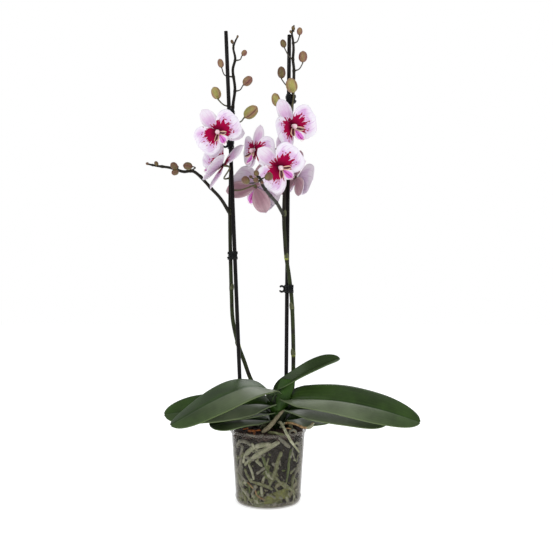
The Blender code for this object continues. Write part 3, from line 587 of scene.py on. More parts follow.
BACK_ROOTS = 34
bm = bmesh.new()
for index in range(BACK_ROOTS):
    angle = 78 + 204 * (index + chance.uniform(0.1, 0.9)) / BACK_ROOTS
    height = chance.uniform(60, 98)
    route, lean = [], chance.uniform(-14, 14)
    for step in range(5):
        route.append((angle, height))
        angle += lean + chance.uniform(-8, 8)
        height -= chance.uniform(8, 21)
    route = [(a, max(h, 5)) for a, h in route]
    thickness = chance.uniform(4.0, 6.8)
    points = [wall_place(a, h, 1.5 + thickness / 2) for a, h in route]
    radii = [thickness / 2 * s for s in (0.9, 1.0, 1.0, 0.92, 0.6)]
    root(bm, points, radii, chance.choice((0, 1, 1, 2, 2)), rings=22, sides=10, seed=index * 1.3)
for index, (start, z) in enumerate(((130, 66), (-150, 78))):
    route = [(start + 14 * step, z + 12 * math.sin(step * 0.9)) for step in range(6)]
    root(bm, [wall_place(a, h, 4.6) for a, h in route], [2.6, 2.8, 2.6, 2.2], index, rings=34, seed=index)
keep_inside(bm)
piece("roots_round_the_wall", bm, root_skins, ["wall_root_1", "wall_root_2"])
print("roots inside:", len(FRONT_ROOTS) + BACK_ROOTS + 2)

# %% [markdown]
# ## Moss, a green slab and rubble
#
# Algae grow where damp roots touch the wall, and one flat piece near the bottom is yellow-green
# with them. Crumbs of bark and root fill the lowest centimetre. They are the same chips again,
# in a greener finish.

# %% Moss and rubble in the pot
algae = mottled("algae on bark", ("#454A24", "#5D6136", "#282B14"), 5, 1.2, 0.6, 0.75)
algae_fresh = mottled("fresh algae on a bark slab", ("#5C5F2F", "#74763B", "#34371A"), 5, 1.2, 0.6, 0.75)
crumb = mottled("grey root crumbs", ("#6E6A4E", "#8B8768", "#38341F"), 4, 1.1, 0.5, 0.75)
bm = bmesh.new()
# The slab, then lumps of moss: angle, height, size in mm, turn in the wall's plane, and finish.
for angle, height, size, spin, finish in (
    (16, 18, 34, 0.28, 3), (28, 23, 20, 0.1, 3), (2, 50, 12, 1.2, 0), (8, 44, 12, 0.3, 0), (-4, 56, 10, 0.8, 0),
    (14, 54, 9, 2, 0), (0, 62, 9, 1, 0), (20, 36, 12, 0.4, 1), (33, 33, 9, 1.4, 1), (36, 10, 19, 0.1, 2),
    (-24, 33, 10, 0.3, 0), (58, 30, 15, 0.5, 1), (48, 20, 12, 0.9, 1), (66, 22, 12, 0.2, 1),
):
    place = Matrix.Translation(wall_place(angle, height, 4.2))
    lie = flat_on_wall(angle, spin)
    shape = Matrix.Diagonal((1.0, 0.75, 0.34 if size > 12 else 0.8, 1.0))
    scatter(bm, chance.choice(CHIPS), place @ lie @ shape @ Matrix.Scale(size * MM, 4), finish)
for _ in range(420):
    angle = chance.uniform(-180, 180)
    height = 2.6 + 40 * chance.random() ** 2.0
    place = Matrix.Translation(wall_place(angle, height, chance.uniform(3.6, 5.5)))
    shape = Matrix.Scale(chance.uniform(2.5, 7.0) * MM, 4)
    scatter(bm, chance.choice(CHIPS), place @ random_turn() @ shape, chance.choice((0, 0, 1, 1, 2)))
keep_inside(bm)
piece("moss_and_crumbs", bm, [algae, crumb, bark_in_painted_shade, algae_fresh], sharp=45)


def bit_template(seed):
    """One root bit, about one unit long: a bent, lumpy round."""
    bm = bmesh.new()
    bend = chance.uniform(-0.16, 0.16)
    path = (-0.5, 0, 0), (-0.1, bend, 0.03), (0.5, -bend * 0.4, 0)
    rolled(bm, path, lambda t, a: 0.12 * (1 + 0.3 * math.sin(7 * t + seed)), 8, 8)
    bmesh.ops.remove_doubles(bm, verts=bm.verts, dist=0.004)
    bmesh.ops.recalc_face_normals(bm, faces=bm.faces)
    return as_mesh(f"bit_{seed}", bm)


BITS = [bit_template(seed) for seed in range(4)]
bm = bmesh.new()
for _ in range(360):
    angle = chance.uniform(-180, 180)
    height = 2.5 + 92 * chance.random() ** 2.9
    lie = flat_on_wall(angle, chance.uniform(0, math.pi)) @ Matrix.Diagonal((1, 1, 0.7, 1))
    place = Matrix.Translation(wall_place(angle, height, chance.uniform(3.2, 6.0)))
    finish = chance.choice((0, 1, 1, 2, 2, 3))
    scatter(bm, chance.choice(BITS), place @ lie @ Matrix.Scale(chance.uniform(9, 20) * MM, 4), finish)
keep_inside(bm)
piece("root_bits_at_wall", bm, root_skins)

# %% [markdown]
# ## Roots over the rim
#
# Three roots show above the bark: a stub with a dry broken end that leans on the crown, a thin
# withered one that lies across the bark, and a silver one that climbs over the rim and hangs down
# the outside of the wall. A few fibres and curls lie round them.

# %% Roots above the bark
bm = bmesh.new()
path = (
    (15.5, -13, 122), (19, -26, 125), (23.5, -46, 121.5), (28, -60, 115), (34, -62.5, 105), (41, -59, 95),
    (47, -53, 86),
)
root(bm, vectors(path, MM), (1.9, 2.1, 2.1, 2.0, 1.8, 1.0), 0, rings=60, seed=4, rough=0.25)
piece("root_over_rim", bm, root_skins, ["rim_root"])

bm = bmesh.new()
path = (20, -14, 120), (32, -20, 123.5), (45, -28, 121.5), (54, -32, 118.5), (62, -30, 119), (70, -26, 125)
root(bm, vectors(path, MM), (1.5, 1.8, 1.7, 1.6, 1.2), 4, rings=50, sides=10, seed=8, rough=0.3)
path = (58, -31, 117), (65, -34, 120), (70, -33, 126)
root(bm, vectors(path, MM), (1.4, 2.4, 2.2, 0.8), 0, rings=14, sides=9, rough=0.4)
path = (55, -32, 116), (52, -34.5, 120), (50, -35, 123)
root(bm, vectors(path, MM), (0.7, 0.6, 0.2), 4, rings=10, sides=7, rough=0.4)
piece("withered_root", bm, root_skins, ["dry_root"])

bm = bmesh.new()
path = (
    (26.5, -16.5, 143), (21.5, -16.5, 139.5), (15.5, -20, 133.5), (8, -26, 125.5), (0, -33, 118),
    (-9, -40, 112),
)
root(bm, vectors(path, MM), (0.9, 2.2, 3.0, 3.4, 3.7, 2.6), 5, rings=44, seed=12, rough=0.22)
piece("broken_root_stub", bm, root_skins, ["stub_root"])

bm = bmesh.new()
for index, (finish, radii, points) in enumerate((
    (2, (1.0, 1.5, 1.0), ((-33, -40, 111), (-26, -43, 109), (-16, -45.5, 108.5), (-6, -44, 110))),
    (1, (1.7, 2.0, 1.8), ((1, -35, 112), (9, -41, 112.5), (18, -44, 111), (25, -45, 109))),
    (2, (1.8, 2.0, 1.6), ((32, -36, 108), (34, -37, 114.5), (41, -38, 115), (43, -40, 109))),
    (0, (1.5, 2.0, 0.8), ((18, -14, 114), (22.5, -18, 120), (26, -21, 124))),
    (4, (0.9, 1.0, 0.4), ((22, -30, 115), (32, -34, 117.5), (41, -40, 113))),
    (1, (2.2, 2.6, 2.0), ((-2, -28, 110), (8, -34, 108.5), (22, -36, 108), (34, -38, 104))),
    (2, (2.4, 2.8, 2.2), ((-12, 10, 112), (-26, 22, 111), (-38, 30, 106), (-46, 30, 98))),
    (0, (2.0, 2.6, 2.0), ((12, 14, 113), (6, 30, 111), (-4, 44, 106), (-10, 49, 98))),
    (4, (1.0, 1.2, 0.6), ((28, 16, 112), (40, 20, 110), (47, 14, 106))),
)):
    root(bm, vectors(points, MM), radii, finish, rings=26, sides=10, seed=20 + index, rough=0.25)
# Under the leaves, more roots leave the crown round its sides and back and dive into the bark.
for index in range(13):
    heading = math.radians(-60 + 27.5 * index + chance.uniform(-8, 8))
    out = Vector((math.cos(heading), math.sin(heading), 0))
    start = Vector((0.0155, 0, 0.124 - 0.0016 * (index % 5)))
    far = chance.uniform(20, 27) * MM
    points = [
        start + out * 5 * MM, start + out * 12 * MM + Vector((0, 0, 1.5 * MM)),
        start + out * far * 0.85 + Vector((0, 0, -3 * MM)), Vector((start.x, start.y, 0.104)) + out * far * 1.15,
    ]
    if heading < math.radians(-20) or heading > math.radians(200):
        continue
    root(bm, points, (2.4, 2.9, 3.0, 2.5), chance.choice((1, 2, 2)), rings=18, sides=10, seed=60 + index, rough=0.2)
piece("small_roots_on_bark", bm, root_skins)

bm = bmesh.new()
for place, size, spin in (
    ((-34, -30, 116.5), 9, 0.7), ((-24, -34, 114), 11, -0.35),
    ((-37, -24, 119), 6, 1.1), ((-15, -36, 115), 8, 0.5),
):
    shape = turned(spin, "Z") @ turned(0.3, "X") @ Matrix.Diagonal((1, 0.42, 0.5, 1))
    scatter(bm, CHIPS[1], Matrix.Translation(Vector(place) * MM) @ shape @ Matrix.Scale(size * MM, 4))
piece("torn_bark_strip", bm, [bark_fresh], sharp=40)
print("roots above the bark done")

# %% [markdown]
# ## Leaves
#
# Moth orchid leaves are thick, waxy and folded along the middle. The upper skin is dark green with
# fine lengthwise veins, a sunk midrib and a thin pale margin, and the underside is a paler
# grey-green. Each leaf is a bent grid along its midrib: the fold, the roll and the droop come from
# the frame's own values, and the groove and a slight wave are added. A solid wall then gives the
# thickness, and its second finish colours the underside.

# %% Leaf skins
def leaf_skin(name, deep, fresh, vein, margin, roughness, bump_mm, painted_sheen=0.0):
    """A waxy leaf skin drawn along the leaf: veins, midrib, margin, a fresher green at the foot, and a painted sheen
    on one half.
    """
    skin = bare(name, roughness, IOR=1.45, Specular_IOR_Level=0.3)
    tree = skin[1]
    strip, along, across = growth_map(tree)
    side, off = from_middle(tree, across)
    # A leaf 70 mm wide has a vein about every millimetre: 60 across, hardly changing along.
    veins = growth_lines(tree, strip, 2.2, 62.0)
    thread = node(tree, "MapRange", SMOOTH, {0: veins, 1: 0.52, 2: 0.72, 4: 0.42})
    place = node(tree, "TexCoord", out="Object")
    cloud = node(tree, "TexNoise", inputs={"Vector": place, "Scale": 28.0, "Detail": 3.0})
    patch = node(tree, "MapRange", inputs={0: cloud, 1: 0.35, 2: 0.68})
    foot = node(tree, "MapRange", SMOOTH, {0: along, 1: 0.2, 2: 0.0, 4: 0.4})
    # A painted sheen: a pale grey-green laid on one half only, standing in for the soft reflection of the front
    # lamps. It fades to the tip and is uneven.
    painted_sheen_share = node(tree, "MapRange", SMOOTH, {0: side, 1: -0.02, 2: 0.1, 4: painted_sheen})
    fade = node(tree, "MapRange", SMOOTH, {0: along, 1: 0.5, 2: 0.95, 3: 1.0, 4: 0.15})
    uneven = node(tree, "MapRange", inputs={0: cloud, 1: 0.3, 2: 0.7, 3: 0.75, 4: 1.2})
    for factor in (fade, uneven):
        painted_sheen_share = node(tree, "Math", TIMES, {0: painted_sheen_share, 1: factor})
    rib = node(tree, "MapRange", SMOOTH, {0: off, 1: 0.045, 2: 0.0, 4: 0.45})
    rim = node(tree, "MapRange", SMOOTH, {0: off, 1: 0.976, 2: 1.0, 4: 0.45})
    outer = node(tree, "MapRange", inputs={0: along, 1: 0.1, 2: 0.5, 3: 0.1})
    rim = node(tree, "Math", TIMES, {0: rim, 1: outer})
    # The grey-green #848C72 is the painted sheen on one half of the leaf, not a colour of the skin.
    layers = (patch, fresh), (thread, vein), (foot, "#42661C"), (painted_sheen_share, "#848C72"), (rib, "#1F3A16"), (rim, margin)
    return dress(skin, linear(deep), layers, veins, bump_mm)


# The upper skins carry a painted sheen: strong on the older leaves, faint on the young one.
leaf_top = leaf_skin(
    "waxy leaf, upper skin", "#253810", "#36501B", "#4B6732", "#667A40", 0.36, 0.1, painted_sheen=0.5
)
leaf_young = leaf_skin(
    "young leaf, upper skin", "#1F2F0E", "#2B4014", "#3D5726", "#5E7A3C", 0.4, 0.1, painted_sheen=0.08
)
leaf_under = leaf_skin("waxy leaf, underside", "#353D31", "#434D3E", "#55604F", "#55623C", 0.5, 0.08)

# %% Leaf shapes
# Every leaf, in mm and degrees: the points of its midrib from the crown out, its widest half width,
# how far it is rolled to the front, its fold on the way out, the width of its foot as a share of
# the widest, and how far its edges curl.
LEAVES = {
    "young_leaf": (
        ((16.5, -1, 153), (21.5, -2, 170), (34, -4, 182), (60, -4, 199), (88, 2, 212), (113, 8, 220)),
        15.5, 34, (46, 42, 36, 30, 20), 1, 0.02,
    ),
    "front_left_leaf": (
        ((7, -6, 160), (-6, -20, 176), (-36, -45, 180), (-82, -75, 164), (-137, -100, 135)),
        35, 16, (35, 10, 0, -4), 0.52, 0.1,
    ),
    "front_right_leaf": (
        ((27, -4, 152), (45, -12, 158), (105, -32, 159), (168, -50, 149), (225, -62, 132)),
        34, 33, (38, 18, 11, 8), 0.56, 0.12,
    ),
    "middle_left_leaf": (
        ((6, -4, 146), (-20, -12, 151), (-62, -26, 149), (-110, -40, 146), (-155, -48, 141)),
        30, 36, (28, 12, 8, 5), 0.74, 0.1,
    ),
    "lower_right_leaf": (
        ((27.2, -3, 138), (56, -7, 142), (100, -10, 139), (148, -12, 134), (188, -16, 127)),
        32, 34, (26, 14, 10, 6), 0.7, 0.1,
    ),
    "back_left_leaf": (
        ((5, 1, 132), (-30, -9, 137), (-70, -8, 139), (-115, 6, 140), (-156, 18, 142)),
        28, 25, (26, 12, 8, 5), 0.74, 0.08,
    ),
    "lowest_right_leaf": (
        ((28, 2, 122), (45, 4, 125), (62, 8, 127), (80, 14, 127), (98, 22, 126)),
        24, 30, (22, 10, 8, 5), 0.92, 0.06,
    ),
    "lowest_left_leaf": (
        ((4, 0, 121), (-18, -6, 125), (-42, -16, 127), (-66, -25, 125), (-88, -34, 121)),
        25, 20, (24, 12, 6, 5), 0.8, 0.05,
    ),
}


LEAF_WALL = 1.7 * MM


def leaf_width(t, foot):
    """The leaf's width at t as a share of its widest: a narrow foot, widest past the middle, a round tip."""
    if t < 0.6:
        u = t / 0.6
        return foot + (1 - foot) * u * u * (3 - 2 * u)
    return math.sqrt(max(1 - ((t - 0.6) / 0.4) ** 2.4, 0.0))


def leaf_frame(spine, t):
    """The leaf's middle at t, with its directions out, towards the front edge and up."""
    here = curve_point(spine, t)
    ahead = (curve_point(spine, t + 0.02) - curve_point(spine, t - 0.02)).normalized()
    near = ahead.cross(Vector((0, 0, 1))).normalized()
    near = -near if near.y > 0 else near
    up = near.cross(ahead)
    return here, near, -up if up.z < 0 else up


for number, (name, (points, half_width, roll_end, folds, foot, curl)) in enumerate(LEAVES.items()):
    spine = vectors(points, MM)

    def leaf_place(t, s, spine=spine, seed=number * 2.3):
        here, near, up = leaf_frame(spine, t)
        side = 2 * s - 1
        roll = math.radians(roll_end) * min(1.0, (t + 0.06) / 0.35)
        fold = math.radians(curve_point(folds, t))
        half = half_width * MM * leaf_width(t, foot)
        turn = roll - fold if side >= 0 else roll + fold
        across = (near * math.cos(turn) - up * math.sin(turn)) * (1 if side >= 0 else -1)
        normal = up * math.cos(roll) + near * math.sin(roll)
        groove = 0.9 * MM * math.exp(-((side / 0.06) ** 2)) * (1 - 0.5 * t)
        wave = 0.9 * MM * math.sin(9 * t + seed) * side * side * min(1, 4 * t)
        return here + across * half * abs(side) - normal * (curl * half * side * side + groove - wave)

    bm = bmesh.new()
    bent_grid(bm, 64, 26, leaf_place, row=lambda u: math.sin(u * math.pi / 2) * 0.999)
    bm.normal_update()
    if sum((face.normal * face.calc_area() for face in bm.faces), Vector()).z < 0:
        bmesh.ops.reverse_faces(bm, faces=bm.faces)
    skins = [leaf_young if name == "young_leaf" else leaf_top, leaf_under]
    piece(name.replace("leaf", "waxy_leaf"), bm, skins, [name], wall=LEAF_WALL, back=1)
print("leaves:", len(LEAVES))

# %% [markdown]
# ## The crown
#
# The leaves of this orchid have no common stem to see: each one clasps the next with a folded
# foot, left and right in turn, and the stack of feet is the crown. Each foot is a bent grid
# wrapped most of the way round the crown's axis, open on the far side and cut lower there. Two
# wide folds of the youngest leaves close the stack at the front, and a dark core fills it.

# %% Crown of leaf feet
CROWN_LOW, CROWN_TOP = 0.1036, 0.185
crown_axis = vectors(((0.015, 0, CROWN_LOW), (0.016, 0, 0.135), (0.018, 0, 0.166), (0.019, 0, CROWN_TOP)))
foot_fresh = leaf_skin("leaf foot, fresh green", "#25400C", "#365A12", "#4A6E22", "#5C7430", 0.5, 0.1)
foot_old = leaf_skin("leaf foot, older green", "#18240C", "#223212", "#334822", "#454E28", 0.45, 0.12)


def axis_at(z):
    """The crown's own middle at height z."""
    return curve_point(crown_axis, (z - CROWN_LOW) / (CROWN_TOP - CROWN_LOW))


bm = bmesh.new()
# Every foot: its height at the bottom and at its lip, its direction in degrees from +X, its radius
# at the bottom and the top in mm, and its finish.
for bottom, top, heading, low, high, finish in (
    (0.104, 0.128, 190, 9.5, 10.5, 1), (0.107, 0.133, 15, 9.2, 10.5, 1), (0.11, 0.141, 186, 9.0, 10.5, 1),
    (0.114, 0.147, -4, 9.0, 10.5, 1), (0.118, 0.155, 194, 8.8, 10.5, 0), (0.124, 0.161, -12, 8.4, 10.5, 0),
    (0.13, 0.17, 206, 8.0, 9.5, 1), (0.136, 0.169, -8, 7.0, 7.5, 0),
):
    def foot_place(t, s, bottom=bottom, top=top, heading=heading, low=low, high=high):
        side = 2 * s - 1
        lip = top - 0.02 * abs(side) ** 1.6
        z = bottom + (lip - bottom) * t
        angle = math.radians(heading + side * (150 - 55 * t))
        flare = 8 * t**1.8 * max(0.0, math.cos(side * 1.5)) ** 1.5
        reach = (low + (high - low) * t + flare) * MM
        return axis_at(z) + Vector((math.cos(angle) * reach, math.sin(angle) * reach * 0.92, z - axis_at(z).z))
    bent_grid(bm, 16, 30, foot_place, finish=finish)
# Two wide folds face the front: the young leaf's own foot, and the front left leaf's behind it.
for left, right, bulge, finish in (
    (((12.5, -10.5, 138.5), (12.5, -12, 157), (13.5, -10, 172), (20, -1, 189)),
     ((24, -8.5, 141), (32.5, -10, 157), (38, -7, 171), (43, 0, 187)), 3.0, 0),
    (((12, -8, 138.5), (6, -8, 150), (-3, -7, 163), (-3, -7, 172)),
     ((17, -9, 138.5), (20, -9.5, 150), (23, -8.5, 163), (24, -7, 175)), 2.0, 1),
):
    def fold_place(t, s, left=vectors(left, MM), right=vectors(right, MM), bulge=bulge):
        side = 2 * s - 1
        return curve_point(left, t).lerp(curve_point(right, t), s) - Vector((0, bulge * MM * (1 - side * side), 0))
    bent_grid(bm, 20, 20, fold_place, finish=finish)
bm.normal_update()
piece("crown_of_leaf_feet", bm, [foot_fresh, foot_old], wall=1.3 * MM)

bm = bmesh.new()
rolled(bm, crown_axis[:3], lambda t, a: curve_point((9.2, 8.4, 7.0, 5.0), t) * MM, 16, 24)
piece("crown_core", bm, [foot_old], ["crown"])
print("crown: 8 leaf feet")

# %% [markdown]
# ## Stakes
#
# Each spike is tied to a straight stake. These are dark and slightly glossy, with a fine grain
# along them, and cut square with a softened end. A rolled grid gives the round, and the grain is
# a noise stretched about thirty times along the stake.

# %% Stakes
stake_skin = mottled(
    "dark stained split cane", ("#090707", "#0F0B0B", "#1C1715"), 3.0, 0.9, 0.08, 0.34,
    squash=(1, 1, 0.03), Specular_IOR_Level=0.16,
)
STAKES = {
    "left_stake": ((-40, 16, 45), (-70, 30, 753)),
    "right_stake": ((27.2, 22, 45), (34, 30, 747)),
}
for name, ends in STAKES.items():
    bm = bmesh.new()
    low, high = vectors(ends, MM)
    path = low, low.lerp(high, 0.5), high
    rolled(bm, path, lambda t, a: (3.2 + 0.05 * math.sin(a * 7)) * MM, 40, 28, dome=0.15)
    piece(name.replace("stake", "cane"), bm, [stake_skin], [name])
print("stakes:", len(STAKES))

# %% [markdown]
# ## Flower spikes
#
# A spike is the flower stem: as thick as a pencil at the foot and thin at the tip, dark green with
# a brown flush in the light. Every so often it has a node, a slight swelling with a pale
# yellow-green band and a dry scale. Swellings go into the radius of the rolled grid, and the bands
# are drawn from a number stored on each point, which is highest at a node.

# %% Spike skin
def spike_material():
    """Stem skin: green below and brown above, with light streaks and pale bands at some nodes."""
    skin = bare("flower stem skin", 0.45, IOR=1.45, Specular_IOR_Level=0.18)
    tree = skin[1]
    place = node(tree, "TexCoord", out="Object")
    fibre = node(tree, "Mapping", inputs={"Vector": place, "Scale": (1.0, 1.0, 0.08)})
    streak = node(tree, "TexNoise", inputs={"Vector": fibre, "Scale": 900.0, "Detail": 3.0})
    patch = node(tree, "TexNoise", inputs={"Vector": place, "Scale": 70.0, "Detail": 4.0})
    height = node(tree, "SeparateXYZ", inputs={0: place}, out=2)
    climb = node(tree, "MapRange", inputs={0: height, 1: 0.34, 2: 0.48})
    brown = node(tree, "MapRange", SMOOTH, {0: patch, 1: 0.45, 2: 0.68})
    light = node(tree, "MapRange", inputs={0: streak, 1: 0.5, 2: 0.75, 4: 0.22})
    band = node(tree, "Attribute", {"attribute_name": "band"}, out="Fac")
    layers = (climb, "#1E1A15"), (brown, "#1E1914"), (light, "#3E4228"), (band, "#A4AE4E")
    return dress(skin, linear("#2C3419"), layers, streak, 0.08)


spike_skin = spike_material()
scale_skin = mottled("dry node scale", ("#3F4325", "#565A30", "#2B2A18"), 3, 0.8, 0.15, 0.6)

# %% Spikes
# Every spike, in mm: its path and its side branch's, the branch's radii, and the heights of its nodes.
SPIKES = {
    "left_spike": {
        "stem": (
            (3, 11, 140), (-10, 20, 156), (-28, 29, 183), (-40, 34, 214), (-50, 34, 242), (-58, 32, 280),
            (-60, 31, 320), (-61.2, 30, 360), (-62.2, 30, 400), (-62.8, 31, 440), (-63, 35, 480),
            (-62, 38, 530), (-61, 39, 580), (-59, 39, 630), (-55.5, 37, 660), (-59, 36, 690), (-55, 35, 709),
            (-58, 34, 727), (-53, 33, 742),
        ),
        "branch": (
            (-62.8, 30, 452), (-76, 17, 474), (-90, 8, 489), (-115, -10, 513), (-133, -15, 513),
            (-152, -20, 518), (-173, -20, 521), (-188, -20, 524),
        ),
        "branch_radii": (2.4, 2.2, 2.1, 2, 1.9, 1.7, 1.4, 1),
        "nodes": (238, 330, 452, 512, 588, 603, 630, 656, 679, 706, 727),
        "pale": (238,),
    },
    "right_spike": {
        "stem": (
            (27, 12, 140), (35, 16, 156), (39, 19, 176), (40, 20, 205), (40, 19.5, 240), (39, 18.5, 280),
            (37, 17.2, 318), (33, 16, 352), (28.5, 16, 382), (26.5, 17, 410), (25, 18.5, 440),
            (25.5, 19.5, 475), (27, 20, 510), (31, 20.8, 560), (36.5, 23, 610), (40.5, 27, 655),
            (41.5, 29, 688), (40, 30, 706), (41, 30, 723), (40, 30, 738), (38.5, 30, 750), (42, 30, 763),
        ),
        "branch": (
            (25, 19, 448), (20, 5, 455), (13.5, -18, 463), (6, -45, 468), (-0.5, -66, 473), (-6.5, -82, 479),
            (-10, -95, 487), (-14.5, -108, 490),
        ),
        "branch_radii": (2.4, 2.2, 2.1, 2.1, 2, 1.9, 1.7, 1.3),
        "nodes": (226, 300, 380, 448, 500, 552, 580, 600, 621, 655, 687, 706, 733),
        "pale": (226, 380),
    },
}
STEM_RADII = (3.2, 3.0, 2.9, 2.8, 2.7, 2.5, 2.2, 1.9, 1.2)
STEM_SCALE, BRANCH_SCALE = 1.12, 1.25


def nearest_share(points, height):
    """The share of the way along a rising path at which it passes a height in mm."""
    return min((i / 500 for i in range(501)), key=lambda t: abs(curve_point(points, t).z - height * MM))


def spike_path(spike, part="stem"):
    return vectors(SPIKES[spike][part], MM)


for name, spike in SPIKES.items():
    stem, branch = spike_path(name), spike_path(name, "branch")
    shares = [nearest_share(stem, z) for z in spike["nodes"]]

    def stem_radius(t, angle, shares=shares):
        swell = sum(math.exp(-(((t - share) / 0.004) ** 2)) for share in shares)
        return (curve_point(STEM_RADII, t) * STEM_SCALE + 0.45 * min(swell, 1)) * MM

    branch_nodes = (0.3, 0.48, 0.64, 0.8, 0.92)

    def branch_radius(t, angle, radii=spike["branch_radii"]):
        swell = sum(math.exp(-(((t - share) / 0.014) ** 2)) for share in branch_nodes)
        return (curve_point(radii, t) * BRANCH_SCALE + 0.6 * min(swell, 1)) * MM

    bm = bmesh.new()
    rolled(bm, stem, stem_radius, 300, 18)
    rolled(bm, branch, branch_radius, 90, 16)
    # A pointed scale clasps the stem at each of the four lowest nodes, its tip just above it.
    for z in spike["nodes"][:4]:
        share = nearest_share(stem, z)
        here, above = curve_point(stem, share), curve_point(stem, share + 0.012)
        side = Vector((0.6, -0.8, 0)) if z > 300 else Vector((-0.5, -0.85, 0))
        reach = (curve_point(STEM_RADII, share) * STEM_SCALE + 0.75) * MM

        def scale_place(t, s, here=here, above=above, side=side, reach=reach):
            turn = Matrix.Rotation((2 * s - 1) * 1.5 * (1 - t) ** 0.6, 3, "Z") @ side
            return here.lerp(above, t * 1.25 - 0.2) + turn * (reach + 0.5 * MM * math.sin(t * 3.1))
        bent_grid(bm, 8, 10, scale_place, finish=1)
    obj = piece(name.replace("spike", "flower_stem"), bm, [spike_skin, scale_skin], [name])
    band = obj.data.attributes.new("band", "FLOAT", "POINT")
    for index, vert in enumerate(obj.data.vertices):
        on_stem = vert.co.y > 0.008 and vert.co.z < 0.44
        near = min(abs(vert.co.z - z * MM) for z in spike["pale"]) if on_stem else 1.0
        band.data[index].value = max(0.0, min(1.0, 1.35 - near / (3.4 * MM)))
    print(name, "nodes", len(spike["nodes"]), "faces", len(obj.data.polygons))

# %% [markdown]
# ## Clips
#
# A small black spring clip holds each spike to its stake: an oval band round both, a ring handle
# that stands out at one side and a ribbed block that the fingers press. The band is an extruded
# oval with a wall, the handle a rolled round, and the block a few bevelled boxes.

# %% Clips
clip_skin = bare("black moulded polypropylene", 0.25, IOR=1.49, Specular_IOR_Level=0.22)
clip_place = node(clip_skin[1], "TexCoord", out="Object")
clip_grain = node(clip_skin[1], "TexNoise", inputs={"Vector": clip_place, "Scale": 700.0, "Detail": 2.0})
clip_plastic = dress(clip_skin, linear("#060707"), [(clip_grain, "#101213")], clip_grain, 0.03)

# Every clip: its stake, its spike, its height in mm and the side on which its ring handle stands out.
CLIPS = {
    "left_lower_clip": ("left_stake", "left_spike", 384, -1),
    "left_upper_clip": ("left_stake", "left_spike", 616.5, -1),
    "left_middle_clip": ("left_stake", "left_spike", 566, -1),
    "right_lower_clip": ("right_stake", "right_spike", 330, -1),
    "right_upper_clip": ("right_stake", "right_spike", 639.5, 1),
}


def stake_at(name, z):
    """The stake's middle at height z."""
    low, high = vectors(STAKES[name], MM)
    return low.lerp(high, (z - low.z) / (high.z - low.z))


for name, (stake, spike, height, side) in CLIPS.items():
    z = height * MM
    pole, stem = stake_at(stake, z), spike_path(spike)
    stalk = curve_point(stem, nearest_share(stem, height))
    middle, apart = (pole + stalk) / 2, (stalk - pole)
    apart.z = 0
    long_half, wide_half = apart.length / 2 + 5.6 * MM, 5.4 * MM
    local = Matrix.Translation(middle) @ turned(math.atan2(apart.y, apart.x), "Z")
    bm = bmesh.new()
    for lift, tall in ((-6.4, 4.4), (-1.0, 2.0), (2.0, 4.4)):
        size = 1.0 if tall > 2 else 0.9
        shape = Matrix.Translation((0, 0, lift * MM)) @ Matrix.Diagonal((long_half * size, wide_half * size, 1, 1))
        ring = bmesh.ops.create_circle(bm, segments=40, radius=1.0, matrix=local @ shape)["verts"]
        edges = list({edge for vert in ring for edge in vert.link_edges})
        grown = bmesh.ops.extrude_edge_only(bm, edges=edges)["geom"]
        up = [g for g in grown if isinstance(g, bmesh.types.BMVert)]
        bmesh.ops.translate(bm, vec=(0, 0, tall * MM), verts=up)
    bmesh.ops.solidify(bm, geom=bm.faces[:], thickness=1.0 * MM)
    # A ring handle stands out on one side, and a ribbed block closes the band on the other.
    hub = Matrix.Translation(pole) @ turned(math.pi / 2 * (1 - side) - 0.25, "Z")
    turns = [i * math.pi / 6 - 2.7 for i in range(11)]
    handle = [hub @ Vector(((8.6 - 4.2 * math.cos(a)) * MM, 0, 4.6 * math.sin(a) * MM)) for a in turns]
    rolled(bm, handle, lambda t, a: 1.8 * MM, 30, 12)
    end = stalk if (stalk - pole).dot(Vector((side, 0, 0))) < 0 else pole
    block = Matrix.Translation((end.x, min(stalk.y, pole.y) - 4.6 * MM, z)) @ turned(math.pi / 2, "Z")
    rib = Matrix.Diagonal((1.6 * MM, 0.9 * MM, 12.4 * MM, 1))
    parts = [Matrix.Diagonal((2.4 * MM, 8.5 * MM, 13 * MM, 1))]
    parts += [Matrix.Translation((-1.6 * MM, (i * 2.0 - 3.0) * MM, 0)) @ rib for i in range(4)]
    for part in parts:
        cube = bmesh.ops.create_cube(bm, size=1.0, matrix=block @ part)["verts"]
        edges = list({edge for vert in cube for edge in vert.link_edges})
        bmesh.ops.bevel(bm, geom=edges, offset=0.3 * MM, affect="EDGES", segments=2, profile=0.5, material=-1)
    stands_for = [name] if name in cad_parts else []
    piece(name.replace("clip", "spring_clip"), bm, [clip_plastic], stands_for, sharp=35)
print("clips:", len(CLIPS))

# %% [markdown]
# ## Buds
#
# A bud is an egg made of three closed sepals. The seams between them are shallow grooves from the
# foot to the tip, and the skin is olive-green with a pink flush near the seams and over the tip. The
# grooves are cut into the radius of a rolled grid; the flush follows the same seams through the
# "strip" map. The stalk is a second, thinner round.

# %% Bud skins
SEAMS = (0.1, 0.45, 0.78)


